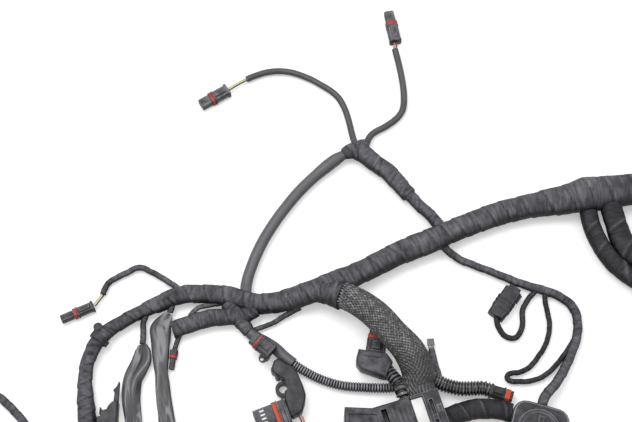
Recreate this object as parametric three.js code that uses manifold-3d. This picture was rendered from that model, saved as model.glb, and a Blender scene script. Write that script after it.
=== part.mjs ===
// Engine wiring harness of a car, laid out flat on a table as it comes off the car.
// Millimetres. +Z is up, +X runs to the right and +Y away from the front edge.
// The origin is the middle of the underside of the big control unit plug, which lies on the table.

import * as THREE from 'three';
import { mergeVertices } from 'three/addons/utils/BufferGeometryUtils.js';
import Module from 'manifold-3d';

const wasm = await Module();
wasm.setup();

// Fits
const GAP = 0.3;
const SEAL_SLACK = 0.35;

// Cloth tape: width of one visible turn, step at its edge, and how far a turn leans
const TAPE_TURN = 24;
const TAPE_STEP = 0.6;
const TAPE_EDGE = 1.2;
const TAPE_LEAN = 3;

// Cord and wire diameters
const PVC_TUBE = 11.2;
const LEFT_SLEEVE = 6.6;
const RIGHT_SLEEVE = 6.8;
const ARCH_LEAD = 5.8;
const LOOP_PLUG_LEAD = 5.4;
const RETURN_LOOP = 5;
const TAIL_LEAD = 7.6;
const SENSOR_WIRE = 1.9;
const WIRE_SPACING = 2.3;
const TERMINAL_LEAD = 6.5;

// Height of a flattened glossy sleeve as a share of its width
const FLATNESS = 0.45;

// Corrugated conduits: outer diameter, depth of a groove, and spacing of the rings
const LONG_CONDUIT = { outer: 9.4, groove: 1, pitch: 3.2 };
const ELBOW_CONDUIT = { outer: 13, groove: 2, pitch: 5.2 };
const RIGHT_CONDUIT = { outer: 14.4, groove: 1.5, pitch: 3.9 };
const SMOOTH_SLEEVE = 11.4;

// Control unit plug, turned on the table: base tray, ribbed cover, white lock bar and side cover
const CONTROL_TURN = THREE.MathUtils.degToRad(17);
const CONTROL_BACK = 29;
const CONTROL_FRONT = -27;
const CONTROL_RIGHT = 46.5;
const CONTROL_BASE_HEIGHT = 15;
const CONTROL_COVER_HEIGHT = 42;
const LOCK_BAR_LEFT = 19.6;
const LOCK_BAR_WIDTH = 11.2;
const LOCK_BAR_DROP = 1.5;
const COVER_RIB_COUNT = 4;
const COVER_RIB_PITCH = 4.6;
const COVER_RIB_WIDTH = 2.2;
const COVER_RIB_HEIGHT = 1.8;
const COVER_SLOT_LEFT = -9.5;
const COVER_SLOT_WIDTH = 5;
const COVER_SLOT_DEPTH = 9;

// Round-cornered plug with a screw-in lid, right of the control unit plug
const ROUND_TURN = THREE.MathUtils.degToRad(-16);
const ROUND_PLACE = [129.5, 6.6];
const ROUND_WIDTH = 53;
const ROUND_DEPTH = 50;
const ROUND_HEIGHT = 23;
const ROUND_CORNER = 12;
const LID_RADIUS = 16.5;
const LID_RECESS = 4;
const LID_RISE = 2.5;

// Elbow plug: where its rear face stands, which way it looks, and its right-angle cover
const ELBOW_COVER_FLOOR = 5;
const ELBOW_COVER_HEIGHT = 22;
const ELBOW_HEADING = 81;
const ELBOW_REAR = [-18.9, 82.3];

// Cable cover behind the five-way plug, with its fixing eye
const BACKSHELL_FLOOR = 2;
const BACKSHELL_HEIGHT = 17;
const EYE_PLACE = [-105.7, 48.9];
const EYE_OUTER = 7.6;
const EYE_HOLE = 4.2;
const EYE_THICKNESS = 7;

// Clip that holds the trunk to the body, at one point of the trunk's route
const CLIP_POINT = 22;
const CLIP_LENGTH = 6.4;
const CLIP_WALL = 2;
const CLIP_HEAD = 9;

const finish = {
  tape: surface(0x5a595e, 0.92),
  pvc: surface(0x707072, 0.45),
  glossPvc: surface(0x77767a, 0.25),
  braid: surface(0x4c4c4e, 0.6),
  nylon: surface(0x4a494d, 0.55),
  greyNylon: surface(0x7f7e83, 0.5),
  greenNylon: surface(0x39453f, 0.55),
  conduit: surface(0x4e4e51, 0.4),
  seal: surface(0xb8473f, 0.6),
  white: surface(0xf2f2f0, 0.4),
  tin: surface(0xa9a9ab, 0.35, 0.9),
  yellowWire: surface(0xd9cf8a, 0.5),
  brownWire: surface(0x8a5a50, 0.5),
};

function surface(color, roughness, metalness = 0) {
  return new THREE.MeshStandardMaterial({ color, roughness, metalness });
}

const harness = new THREE.Group();

// Solids are joined and cut as closed meshes, and go back to a geometry at the end.

function toSolid(geometry) {
  const bare = geometry.index ? geometry.toNonIndexed() : geometry.clone();
  bare.deleteAttribute('normal');
  bare.deleteAttribute('uv');
  const merged = mergeVertices(bare, 1e-4);
  const corners = merged.index.array;
  const kept = [];
  for (let i = 0; i < corners.length; i += 3) {
    const [a, b, c] = [corners[i], corners[i + 1], corners[i + 2]];
    if (a !== b && b !== c && c !== a) {
      kept.push(a, b, c);
    }
  }
  return new wasm.Manifold(new wasm.Mesh({
    numProp: 3,
    vertProperties: new Float32Array(merged.attributes.position.array),
    triVerts: new Uint32Array(kept),
  }));
}

function toGeometry(solid) {
  const mesh = solid.getMesh();
  const geometry = new THREE.BufferGeometry();
  geometry.setAttribute('position', new THREE.BufferAttribute(mesh.vertProperties, 3));
  geometry.setIndex(new THREE.BufferAttribute(mesh.triVerts, 1));
  geometry.computeVertexNormals();
  return geometry;
}

// Where a cut leaves a crumb behind, only the largest body is the piece.
function largest(solid) {
  const bodies = solid.decompose();
  return bodies.reduce((best, body) => (body.volume() > best.volume() ? body : best));
}

function addPiece(name, solid, material, parent = harness) {
  const mesh = new THREE.Mesh(toGeometry(solid), material);
  mesh.name = name;
  parent.add(mesh);
  return mesh;
}

function joined(solids) {
  return solids.reduce((sum, solid) => sum.add(solid));
}

// Plain shapes

function box(x0, x1, y0, y1, z0, z1) {
  const geometry = new THREE.BoxGeometry(x1 - x0, y1 - y0, z1 - z0);
  geometry.translate((x0 + x1) / 2, (y0 + y1) / 2, (z0 + z1) / 2);
  return toSolid(geometry);
}

function disc(x, y, radius, z0, z1, sides = 20) {
  const geometry = new THREE.CylinderGeometry(radius, radius, z1 - z0, sides);
  geometry.rotateX(Math.PI / 2);
  geometry.translate(x, y, (z0 + z1) / 2);
  return toSolid(geometry);
}

function outline(points) {
  return new THREE.Shape(points.map(([x, y]) => new THREE.Vector2(x, y)));
}

// A rectangle with its four corners cut off
function chamferedOutline(width, height, cut, centreX = 0, centreY = 0) {
  const x = width / 2;
  const y = height / 2;
  const corners = [
    [x - cut, -y], [x, cut - y], [x, y - cut], [x - cut, y],
    [cut - x, y], [-x, y - cut], [-x, cut - y], [cut - x, -y],
  ];
  return outline(corners.map(([cx, cy]) => [cx + centreX, cy + centreY]));
}

function roundedOutline(width, height, corner, centreX = 0, centreY = 0) {
  const shape = new THREE.Shape();
  const x = width / 2 - corner;
  const y = height / 2 - corner;
  shape.absarc(centreX + x, centreY - y, corner, -Math.PI / 2, 0);
  shape.absarc(centreX + x, centreY + y, corner, 0, Math.PI / 2);
  shape.absarc(centreX - x, centreY + y, corner, Math.PI / 2, Math.PI);
  shape.absarc(centreX - x, centreY - y, corner, Math.PI, Math.PI * 1.5);
  return shape;
}

// A plan outline raised from z0 to z1, with an optional chamfer round both faces
function raised(shape, z0, z1, chamfer = 0, curveSegments = 2) {
  const geometry = new THREE.ExtrudeGeometry(shape, {
    depth: z1 - z0 - 2 * chamfer,
    bevelEnabled: chamfer > 0,
    bevelThickness: chamfer,
    bevelSize: chamfer,
    bevelOffset: -chamfer,
    bevelSegments: 1,
    curveSegments,
  });
  geometry.translate(0, 0, z0 + chamfer);
  return toSolid(geometry);
}

// A section in the YZ plane carried along X from x0 to x1
function barAlongX(shape, x0, x1) {
  const geometry = new THREE.ExtrudeGeometry(shape, { depth: x1 - x0, bevelEnabled: false });
  const turn = new THREE.Matrix4().makeBasis(
    new THREE.Vector3(0, 1, 0),
    new THREE.Vector3(0, 0, 1),
    new THREE.Vector3(1, 0, 0),
  );
  geometry.applyMatrix4(turn);
  geometry.translate(x0, 0, 0);
  return toSolid(geometry);
}

// Bundles and cords follow a smooth curve through points chosen by hand.

function routeThrough(points) {
  const places = points.map(([x, y, z]) => new THREE.Vector3(x, y, z));
  const curve = new THREE.CatmullRomCurve3(places, false, 'centripetal');
  curve.arcLengthDivisions = 600;
  return curve;
}

// Radius at a distance along a route whose points carry a radius as their fourth number
function radiusAlong(points, curve) {
  const length = curve.getLength();
  return (distance) => {
    const share = THREE.MathUtils.clamp(distance / length, 0, 1);
    const step = curve.getUtoTmapping(share) * (points.length - 1);
    const from = Math.min(Math.floor(step), points.length - 2);
    return THREE.MathUtils.lerp(points[from][3], points[from + 1][3], step - from);
  };
}

// How far along its route one of the route's own points lies
function distanceOfPoint(points, curve, index) {
  const lengths = curve.getLengths();
  return lengths[Math.round((index / (points.length - 1)) * (lengths.length - 1))];
}

// A straight bar of rings, each ring carried to its station on the route.
// A ring's angle is measured from the bar's right side, and the second axis points up.
function formAlong(curve, stations, sides, squash = [1, 1], lean = 0) {
  const rows = stations.length - 1;
  const length = curve.getLength();
  const bar = new THREE.CylinderGeometry(1, 1, 1, sides, rows);
  const position = bar.attributes.position;
  const up = new THREE.Vector3(0, 0, 1);
  for (let i = 0; i < position.count; i += 1) {
    const row = Math.round((position.getY(i) + 0.5) * rows);
    const station = stations[row];
    const across = position.getX(i);
    const rise = position.getZ(i);
    const shift = row > 0 && row < rows ? lean * across : 0;
    const share = THREE.MathUtils.clamp((station.at + shift) / length, 0, 1);
    const centre = curve.getPointAt(share);
    const ahead = curve.getTangentAt(share);
    const side = new THREE.Vector3().crossVectors(ahead, up).normalize();
    const normal = new THREE.Vector3().crossVectors(side, ahead);
    centre.addScaledVector(side, across * station.radius * squash[0]);
    centre.addScaledVector(normal, rise * station.radius * squash[1]);
    position.setXYZ(i, centre.x, centre.y, centre.z);
  }
  return toSolid(bar);
}

function plainStations(length, radiusAt, step, extra = 0) {
  const count = Math.max(2, Math.round(length / step));
  const stations = [];
  for (let i = 0; i <= count; i += 1) {
    const at = (length * i) / count;
    stations.push({ at, radius: radiusAt(at) + extra });
  }
  return stations;
}

// Each turn of tape rises towards its edge and drops to the turn beneath.
function tapedStations(length, radiusAt) {
  const stations = [{ at: 0, radius: radiusAt(0) }];
  for (let at = TAPE_TURN; at < length - TAPE_TURN / 2; at += TAPE_TURN) {
    stations.push({ at: at - TAPE_EDGE, radius: radiusAt(at) + TAPE_STEP });
    stations.push({ at, radius: radiusAt(at) });
  }
  stations.push({ at: length, radius: radiusAt(length) });
  return stations;
}

// A bundle wrapped in cloth tape, and the room that it takes up with its clearance
function tapedBundle(points, sides = 12, squash = [1, 1]) {
  const curve = routeThrough(points);
  const radiusAt = radiusAlong(points, curve);
  const length = curve.getLength();
  const stations = tapedStations(length, radiusAt);
  const solid = formAlong(curve, stations, sides, squash, TAPE_LEAN);
  const wide = stations.map(({ at }) => ({ at, radius: radiusAt(at) + TAPE_STEP + GAP }));
  const room = formAlong(curve, wide, sides, squash, TAPE_LEAN);
  return { curve, radiusAt, solid, room };
}

// A round cord or tube of one diameter
function cord(points, diameter, sides = 8) {
  const curve = routeThrough(points);
  const section = new THREE.Shape();
  section.absarc(0, 0, diameter / 2, 0, Math.PI * 2);
  const steps = Math.ceil(curve.getLength() / (diameter * 2.5));
  const geometry = new THREE.ExtrudeGeometry(section, {
    steps: THREE.MathUtils.clamp(steps, 6, 60),
    curveSegments: sides / 2,
    extrudePath: curve,
  });
  return toSolid(geometry);
}

// Two thin wires side by side, touching along their insulation
function wirePair(points) {
  const half = WIRE_SPACING / 2;
  const radius = SENSOR_WIRE / 2;
  const pinch = 0.35;
  const section = outline([
    [half, -radius], [half + radius, 0], [half, radius], [0, pinch],
    [-half, radius], [-half - radius, 0], [-half, -radius], [0, -pinch],
  ]);
  return toSolid(new THREE.ExtrudeGeometry(section, { steps: 4, extrudePath: routeThrough(points) }));
}

// Rings of a corrugated conduit rise from the groove to the crest and fall again.
function conduit(points, size, sides = 10, endSleeve = 3) {
  const curve = routeThrough(points);
  const length = curve.getLength();
  const crest = size.outer / 2;
  const groove = crest - size.groove;
  const rings = Math.floor((length - 2 * endSleeve) / size.pitch);
  const start = (length - rings * size.pitch) / 2;
  const stations = [{ at: 0, radius: crest }];
  for (let i = 0; i < rings; i += 1) {
    const at = start + i * size.pitch;
    stations.push({ at: at + size.pitch * 0.25, radius: groove });
    stations.push({ at: at + size.pitch * 0.75, radius: crest });
  }
  stations.push({ at: length, radius: crest });
  return formAlong(curve, stations, sides);
}

// Plugs

// A row of blind terminal holes in a face that looks along +X
function terminalHoles(faceX, middleZ, count, pitch, size = 1.8, depth = 5) {
  const holes = [];
  for (let i = 0; i < count; i += 1) {
    const y = (i - (count - 1) / 2) * pitch;
    holes.push(box(
      faceX - depth,
      faceX + 1,
      y - size / 2,
      y + size / 2,
      middleZ - size / 2,
      middleZ + size / 2,
    ));
  }
  return joined(holes);
}

// Spring latch on top of a plug body, low at the rear and highest near its hook
function plugLatch(from, body, width, height) {
  const side = outline([
    [from, height / 2], [body - 1, height / 2], [body - 1, height + 0.6],
    [body - 3, height + 1.8], [from + 2, height + 1.8], [from, height],
  ]);
  const latch = new THREE.ExtrudeGeometry(side, { depth: width * 0.36, bevelEnabled: false });
  latch.rotateX(Math.PI / 2);
  latch.translate(0, width * 0.18, 0);
  return toSolid(latch);
}

// A sealed plug in its own frame: the rear stands at x = 0 and the nose points along +X.
// The housing is one moulding, and the red seal sits round the neck between body and nose.
function sealedPlug(name, size, material, place, heading) {
  const group = new THREE.Group();
  group.position.set(...place);
  group.rotation.z = THREE.MathUtils.degToRad(heading);
  harness.add(group);

  const { body, seal, nose, width, height, ways } = size;
  const middle = height / 2;
  const flange = 2.4;
  const shoulder = 0.9;
  const neckInset = 2.6;
  const noseInset = size.noseInset ?? 1.2;
  const neckEnd = body + seal + 2 * SEAL_SLACK;
  const section = (inset, corner) => chamferedOutline(
    width - 2 * inset,
    height - 2 * inset,
    corner,
    0,
    middle,
  );
  const pieces = [
    barAlongX(section(0, 1.6), 0, flange),
    barAlongX(section(shoulder, 1.4), flange, body - flange * 0.6),
    barAlongX(section(0, 1.6), body - flange * 0.6, body),
    barAlongX(section(neckInset, 1), body, neckEnd),
    barAlongX(section(noseInset, 1.4), neckEnd, neckEnd + nose),
  ];
  if (body > 8) {
    pieces.push(plugLatch(flange, body, width, height));
  }
  const rib = 1;
  for (const side of [-1, 1]) {
    const y = side * (width / 2 - shoulder / 2);
    pieces.push(box(flange, body - 1, y - shoulder / 2, y + shoulder / 2, middle - rib, middle + rib));
  }
  const holePitch = (width - 2 * noseInset) / (ways + 0.6);
  const housing = joined([...pieces, ...(size.extra ?? [])]).subtract(
    terminalHoles(neckEnd + nose, middle, ways, holePitch),
  );
  addPiece(`${name}_plug`, housing, material, group);

  const ring = barAlongX(section(size.sealInset ?? 0.2, 1.8), body + SEAL_SLACK, body + SEAL_SLACK + seal);
  const hole = barAlongX(section(neckInset - SEAL_SLACK, 1.2), body, neckEnd);
  addPiece(`${name}_seal`, ring.subtract(hole), finish.seal, group);
  return group;
}

// A plain square-shouldered plug that closes the end of a bundle, nose along +X
function endPlug(name, size, place, heading) {
  const group = new THREE.Group();
  group.position.set(...place);
  group.rotation.z = THREE.MathUtils.degToRad(heading);
  harness.add(group);
  const { length, width, height, ways } = size;
  const collar = length * 0.22;
  const middle = height / 2;
  const solid = joined([
    barAlongX(chamferedOutline(width, height, 3, 0, middle), 0, collar),
    barAlongX(chamferedOutline(width - 3, height - 3, 2.5, 0, middle), collar, length - 4),
    barAlongX(chamferedOutline(width - 1, height, 2.5, 0, middle), length - 4, length),
  ]);
  const holes = terminalHoles(length, middle, ways, (width - 6) / ways, 2.2, 5);
  addPiece(name, solid.subtract(holes), finish.nylon, group);
}

// Places on the turned control unit plug, given in its own frame
function onControl(x, y, z) {
  const place = new THREE.Vector3(x, y, z);
  place.applyAxisAngle(new THREE.Vector3(0, 0, 1), CONTROL_TURN);
  return [place.x, place.y, place.z];
}

function onRound(x, y, z) {
  const place = new THREE.Vector3(x, y, z);
  place.applyAxisAngle(new THREE.Vector3(0, 0, 1), ROUND_TURN);
  return [place.x + ROUND_PLACE[0], place.y + ROUND_PLACE[1], place.z];
}

// Main trunk: x, y, z and radius. It leaves to the right and turns down at the left.
const trunkPoints = [
  [264, 249, 16.3, 15.4], [239, 249, 16.3, 15.4], [206, 245, 17.6, 16.8], [190, 242.5, 18.4, 17.6],
  [177, 239.5, 16.4, 15.2], [142, 233.5, 14, 12.3], [107, 225.5, 12.5, 11.6], [67, 210, 12.5, 11.2],
  [37, 196, 13, 12.3], [7, 183, 14, 11.6], [-26, 165, 16, 10.8], [-57, 151, 17, 12],
  [-86, 140.5, 14, 11], [-110, 133.5, 12, 10.2], [-134, 132.5, 11, 10.2], [-158, 139.5, 10.8, 9.8],
  [-182, 142.5, 10, 9], [-206, 141.5, 9.8, 8.6], [-225, 133, 9.8, 8.4], [-243.5, 124.5, 9.4, 6.4],
  [-262, 113.5, 10, 6.4], [-273, 105.5, 10.4, 6.8], [-281.2, 97, 10.6, 7], [-287, 87, 10.3, 6.9],
  [-291.8, 73, 9, 6.5], [-292.8, 56, 8.2, 6.7], [-290.8, 37, 8.8, 7.8], [-288, 17, 9.2, 8.5],
  [-288, -4, 9.2, 8.5],
];
const braidRootPoints = [[-84, 144, 15, 9], [-66, 142, 19, 11.5], [-50, 136, 24, 13]];
const leftBreakoutPoints = [
  [-232, 130, 9, 4], [-238.5, 121.8, 8, 3], [-241, 112.4, 6.4, 2.8], [-240.4, 102.4, 6, 2.8],
  [-240.8, 93.6, 6, 2.8],
];
const rightBreakoutPoints = [[-213.5, 138, 9, 4], [-214.4, 130.5, 8, 3.2], [-215.5, 124.5, 7.4, 3]];
const backLeadPoints = [
  [-90.4, 130, 8, 3.2], [-103.9, 122.4, 6, 2.6], [-117.4, 114.4, 4.4, 2.4], [-127.5, 111.4, 4.4, 2.4],
];
const crossLeadPoints = [
  [-166, 134, 9, 3], [-178, 131.5, 8.4, 2.3], [-188, 129, 8.2, 2.3], [-194, 123.5, 9, 2.3],
  [-196.5, 117, 11, 2.6],
];

const trunk = tapedBundle(trunkPoints, 10);
const braidRoot = tapedBundle(braidRootPoints, 12, [1.05, 0.9]);
const breakouts = [leftBreakoutPoints, rightBreakoutPoints, backLeadPoints].map(
  (points) => tapedBundle(points, 8),
);
const crossLead = tapedBundle(crossLeadPoints, 8);
const trunkParts = [trunk, braidRoot, ...breakouts];
const trunkRoom = joined(trunkParts.map((part) => part.room));
addPiece('main_trunk', joined(trunkParts.map((part) => part.solid)), finish.tape);

// Clip round the trunk where it turns down, with the head that pushes into the body panel
function trunkClip() {
  const { curve, radiusAt } = trunk;
  const middle = distanceOfPoint(trunkPoints, curve, CLIP_POINT);
  const start = middle - CLIP_LENGTH / 2;
  const stations = [0, 1, 2, 3].map((i) => {
    const at = start + (CLIP_LENGTH * i) / 3;
    return { at, radius: radiusAt(at) + TAPE_STEP + GAP + CLIP_WALL };
  });
  const ring = formAlong(curve, stations, 12);
  const share = middle / curve.getLength();
  const centre = curve.getPointAt(share);
  const ahead = curve.getTangentAt(share);
  const outward = new THREE.Vector3().crossVectors(ahead, new THREE.Vector3(0, 0, 1)).normalize();
  const reach = radiusAt(middle) + CLIP_WALL;
  const root = centre.clone().addScaledVector(outward, reach * 0.85);
  const headPlace = root.clone().addScaledVector(ahead, -CLIP_HEAD * 0.8);
  const head = disc(headPlace.x, headPlace.y, CLIP_HEAD / 2, centre.z - 3, centre.z + 5, 12);
  const arm = formAlong(
    routeThrough([root.toArray(), headPlace.toArray()]),
    [{ at: 0, radius: 2.4 }, { at: CLIP_HEAD * 0.8, radius: 2.4 }],
    8,
  );
  return joined([ring, head, arm]).subtract(trunkRoom);
}
addPiece('trunk_clip', largest(trunkClip()), finish.nylon);

// Control unit plug
const controlGroup = new THREE.Group();
controlGroup.rotation.z = CONTROL_TURN;
harness.add(controlGroup);

const controlLeftOutline = [
  [-39.8, 37.3], [-16.2, CONTROL_BACK], [LOCK_BAR_LEFT - GAP, CONTROL_BACK],
  [LOCK_BAR_LEFT - GAP, CONTROL_FRONT], [-38, CONTROL_FRONT], [-55, -12],
];
const controlBaseOutline = [
  [-39.8, 37.3], [-16.2, CONTROL_BACK], [CONTROL_RIGHT, CONTROL_BACK],
  [CONTROL_RIGHT, CONTROL_FRONT], [-38, CONTROL_FRONT], [-55, -12],
];
const coverFloor = CONTROL_BASE_HEIGHT + GAP;
const lockBarRight = LOCK_BAR_LEFT + LOCK_BAR_WIDTH;

function controlBase() {
  const tray = raised(outline(controlBaseOutline), 0, CONTROL_BASE_HEIGHT, 1);
  const holes = [];
  const columns = 9;
  const pitch = 8;
  for (let i = 0; i < columns; i += 1) {
    const x = -28 + i * pitch;
    holes.push(box(x - 1.5, x + 1.5, CONTROL_FRONT - 1, CONTROL_FRONT + 5, 5, 9));
  }
  return tray.subtract(joined(holes));
}

function controlCover() {
  const shell = raised(outline(controlLeftOutline), coverFloor, CONTROL_COVER_HEIGHT, 1.2);
  const slotRight = COVER_SLOT_LEFT + COVER_SLOT_WIDTH;
  const slotFloor = CONTROL_COVER_HEIGHT - COVER_SLOT_DEPTH;
  const slot = box(COVER_SLOT_LEFT, slotRight, CONTROL_FRONT + 4, CONTROL_BACK - 4.5, slotFloor, 60);
  const recess = raised(outline([
    [-38, 30], [-19, 24], [-14, 22], [-14, -20], [-36, -20], [-49, -9],
  ]), CONTROL_COVER_HEIGHT - 1.6, 60);
  const boss = raised(roundedOutline(12, 18, 3, -30, 6), CONTROL_COVER_HEIGHT - 3, CONTROL_COVER_HEIGHT, 0.8);
  const ribs = [];
  for (let i = 0; i < COVER_RIB_COUNT; i += 1) {
    const x = slotRight + 4 + i * COVER_RIB_PITCH;
    ribs.push(box(
      x,
      x + COVER_RIB_WIDTH,
      CONTROL_FRONT + 3,
      CONTROL_BACK - 3,
      CONTROL_COVER_HEIGHT - 2,
      CONTROL_COVER_HEIGHT + COVER_RIB_HEIGHT,
    ));
  }
  return joined([shell.subtract(slot).subtract(recess), boss, ...ribs]);
}

function controlSideCover() {
  const left = lockBarRight + GAP;
  const top = CONTROL_COVER_HEIGHT + 1;
  const wall = 2.6;
  const body = box(left, CONTROL_RIGHT, CONTROL_FRONT, CONTROL_BACK, coverFloor, top);
  const lip = box(LOCK_BAR_LEFT, CONTROL_RIGHT, CONTROL_BACK - wall, CONTROL_BACK, coverFloor, top);
  const slot = box(left + 4, left + 7.4, CONTROL_FRONT + 4, CONTROL_BACK - 8, top - 6, 60);
  const bridge = box(left + 2, left + 9.4, 2, 7, top - 7, top - 1.5);
  const pad = box(left + 9.8, left + 13.6, 8, 14, top - 2, top + 1.6);
  const step = box(left + 9, CONTROL_RIGHT + 1, CONTROL_FRONT - 1, -6, top - 5, 60);
  return joined([body.subtract(slot).subtract(step), lip, bridge, pad]);
}

addPiece('control_base', controlBase(), finish.nylon, controlGroup);
addPiece('control_cover', controlCover(), finish.nylon, controlGroup);
addPiece('control_side_cover', controlSideCover(), finish.nylon, controlGroup);
addPiece('control_lock_bar', box(
  LOCK_BAR_LEFT,
  lockBarRight,
  CONTROL_FRONT,
  CONTROL_BACK - 2.6 - GAP,
  coverFloor,
  CONTROL_COVER_HEIGHT - LOCK_BAR_DROP,
), finish.white, controlGroup);

// Braided sleeve from the trunk to the back of the control unit plug, with its crossing strands
const braidPoints = [
  [-52, 138, 23, 12.4], [-35, 128.4, 28, 13.2], [-18.3, 115, 30, 13.9], [-2.7, 97.2, 30, 14],
  [12.6, 79.4, 28, 15.2], [20, 61.8, 26, 15.3],
];
const braidSquash = [1, 0.8];
const braidEndX = 33.4;
const braidEnd = onControl(braidEndX, CONTROL_BACK + GAP, 24);
const braidBeforeEnd = onControl(braidEndX, CONTROL_BACK + 12, 24);
const braidRoute = [...braidPoints, [...braidBeforeEnd, 14.8], [...braidEnd, 14.4]];

function braidedSleeve() {
  const curve = routeThrough(braidRoute);
  const radiusAt = radiusAlong(braidRoute, curve);
  const length = curve.getLength();
  const strands = 4;
  const step = 6;
  const rows = Math.round(length / step);
  const stations = plainStations(length, radiusAt, step);
  const bare = formAlong(curve, stations, strands * 4, braidSquash);
  const lift = 0.5;
  const woven = stations.map((station, row) => ({
    at: station.at,
    radius: station.radius + (row > 0 && row < rows && row % 2 ? lift : 0),
  }));
  return bare.add(formAlong(curve, woven, strands * 4, braidSquash));
}
addPiece('braided_sleeve', largest(braidedSleeve().subtract(trunkRoom)), finish.braid);

// Taped branches
const yPoints = [
  [-60, 282, 8.2, 7.4], [-49, 289.6, 9, 7.8], [-40, 294.6, 9.8, 8.4], [-30, 293, 10.1, 9.3],
  [-19.6, 284, 9.8, 9], [-3.4, 271.5, 9.7, 8.9],
  [12, 253, 9.4, 7.9], [29, 234, 9, 5.8], [41, 221.3, 10, 5.8], [49, 208, 11.5, 6],
];
const crotchPoints = [[-28, 291, 9.8, 8], [-27.4, 304.5, 8.8, 6.2]];
const yBranch = tapedBundle(yPoints, 10);
const yCrotch = tapedBundle(crotchPoints, 10);
const yRoom = yBranch.room.add(yCrotch.room);
addPiece('y_branch', largest(yBranch.solid.add(yCrotch.solid).subtract(trunkRoom)), finish.tape);

const innerLeft = tapedBundle([
  [-132.7, 127, 11, 7.5], [-145.1, 120.6, 9.5, 8.1], [-160.5, 119.6, 9.2, 8.3], [-177.8, 117.8, 9.2, 8.5],
  [-193, 113.2, 9.2, 8.5], [-206, 108.6, 9.2, 8.2], [-212.6, 106.3, 9.2, 8],
], 10);
const hangingLead = tapedBundle([[-204, 106, 7, 3], [-207.8, 96.9, 4.6, 2.4], [-210, 88.3, 4.2, 2.4]], 8);
addPiece(
  'inner_left_branch',
  largest(joined([innerLeft.solid, hangingLead.solid, crossLead.solid]).subtract(trunkRoom)),
  finish.tape,
);

const shortBranch = tapedBundle([
  [-159.9, 133.4, 9.6, 8], [-151, 121.5, 9, 8], [-145.1, 112.8, 8, 7], [-138.8, 105, 7, 6],
], 10);
addPiece(
  'short_branch',
  largest(shortBranch.solid.subtract(trunkRoom).subtract(innerLeft.room)),
  finish.tape,
);

const lowerBranch = tapedBundle([
  [192.6, 239.7, 15, 9], [196, 216, 12, 9.6], [201, 200, 10.4, 9], [207, 187.6, 10.2, 9.2],
  [214, 176, 10.2, 9.2], [221, 168.6, 10.2, 9.2], [230, 160.8, 10.2, 9.2], [240, 154.4, 10.2, 9.2],
  [249, 151.2, 10.2, 9.2], [256, 150.2, 10.2, 9.2], [264, 150.2, 10.2, 9.2],
], 10);
const upperBranch = tapedBundle([
  [216, 243, 18, 9.4], [218, 227, 16, 9.6], [221.5, 213, 14, 9.6], [227, 198, 12, 9.6],
  [234.5, 186, 11, 9.6], [243, 178, 11, 9.6], [251, 174.6, 11, 9.6], [256, 174, 11, 9.6],
  [264, 174, 11, 9.6],
], 10);
addPiece('lower_right_branch', largest(lowerBranch.solid.subtract(trunkRoom)), finish.tape);
addPiece(
  'upper_right_branch',
  largest(upperBranch.solid.subtract(trunkRoom).subtract(lowerBranch.room)),
  finish.tape,
);

const sideStart = onControl(CONTROL_RIGHT + GAP, 6, 12);
const sideAfterStart = onControl(CONTROL_RIGHT + 7, 6, 12);
const sideBeforeEnd = onRound(-ROUND_WIDTH / 2 - 8, 12, 11);
const sideEnd = onRound(-ROUND_WIDTH / 2 - GAP, 12, 11);
const sideBranch = tapedBundle([
  [...sideStart, 9.2], [...sideAfterStart, 9.2], [64, 27, 11, 9.4], [80, 29.5, 11, 9.4],
  [...sideBeforeEnd, 8.9], [...sideEnd, 8.9],
], 10);
addPiece('side_branch', sideBranch.solid, finish.tape);

// Corrugated conduits
const smoothSleevePoints = [
  [-138.5, 104.7, 6.9], [-132.4, 99.8, 6.5], [-123.8, 95.4, 6.2], [-114.1, 89.1, 6.2], [-105.5, 81, 6.2],
  [-100, 76.5, 6.2], [-96.5, 74, 6.2],
];
const smoothSleeve = cord(smoothSleevePoints, SMOOTH_SLEEVE, 10);
const smoothSleeveRoom = cord(smoothSleevePoints, SMOOTH_SLEEVE + 4 * GAP, 12);
addPiece(
  'conduit_sleeve',
  largest(smoothSleeve.subtract(shortBranch.room).subtract(trunkRoom)),
  finish.pvc,
);

const longConduitPoints = [
  [-96.1, 73.7, 6.1], [-92.6, 71.3, 5.8], [-87.3, 67.9, 5.6], [-73.1, 60.3, 5.2], [-52.3, 53.4, 5.2],
  [-28.8, 51.2, 5.2], [-8.9, 50.7, 5.2], [4, 51.6, 5.2], [12.6, 51.4, 5.2],
  onControl(33, CONTROL_BACK + 9, 6), onControl(33, CONTROL_BACK + GAP, 6),
];
addPiece('long_conduit', largest(conduit(longConduitPoints, LONG_CONDUIT, 8)), finish.conduit);

const braidCurve = routeThrough(braidRoute);
const braidRoom = formAlong(
  braidCurve,
  plainStations(braidCurve.getLength(), radiusAlong(braidRoute, braidCurve), 6, 0.5 + 2 * GAP),
  16,
  braidSquash,
);
const elbowConduitPoints = [
  [-8.4, 67, 12.6], [-5, 61.8, 15], [-0.4, 55, 18.4], [3.8, 48, 22],
  onControl(16.5, CONTROL_BACK + 9, 27), onControl(16.5, CONTROL_BACK + GAP, 27),
];
addPiece(
  'elbow_conduit',
  largest(conduit(elbowConduitPoints, ELBOW_CONDUIT, 10, 2).subtract(braidRoom)),
  finish.conduit,
);

const rightConduitPoints = [
  [33, 58, 12], [38, 55.6, 11], [47, 52.2, 9.5], [60.5, 49.4, 8.4], [73.6, 49.6, 8],
  [82.4, 49.8, 8], [88.3, 48, 8],
];
addPiece(
  'right_conduit',
  largest(conduit(rightConduitPoints, RIGHT_CONDUIT, 8).subtract(braidRoom)),
  finish.conduit,
);

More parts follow.
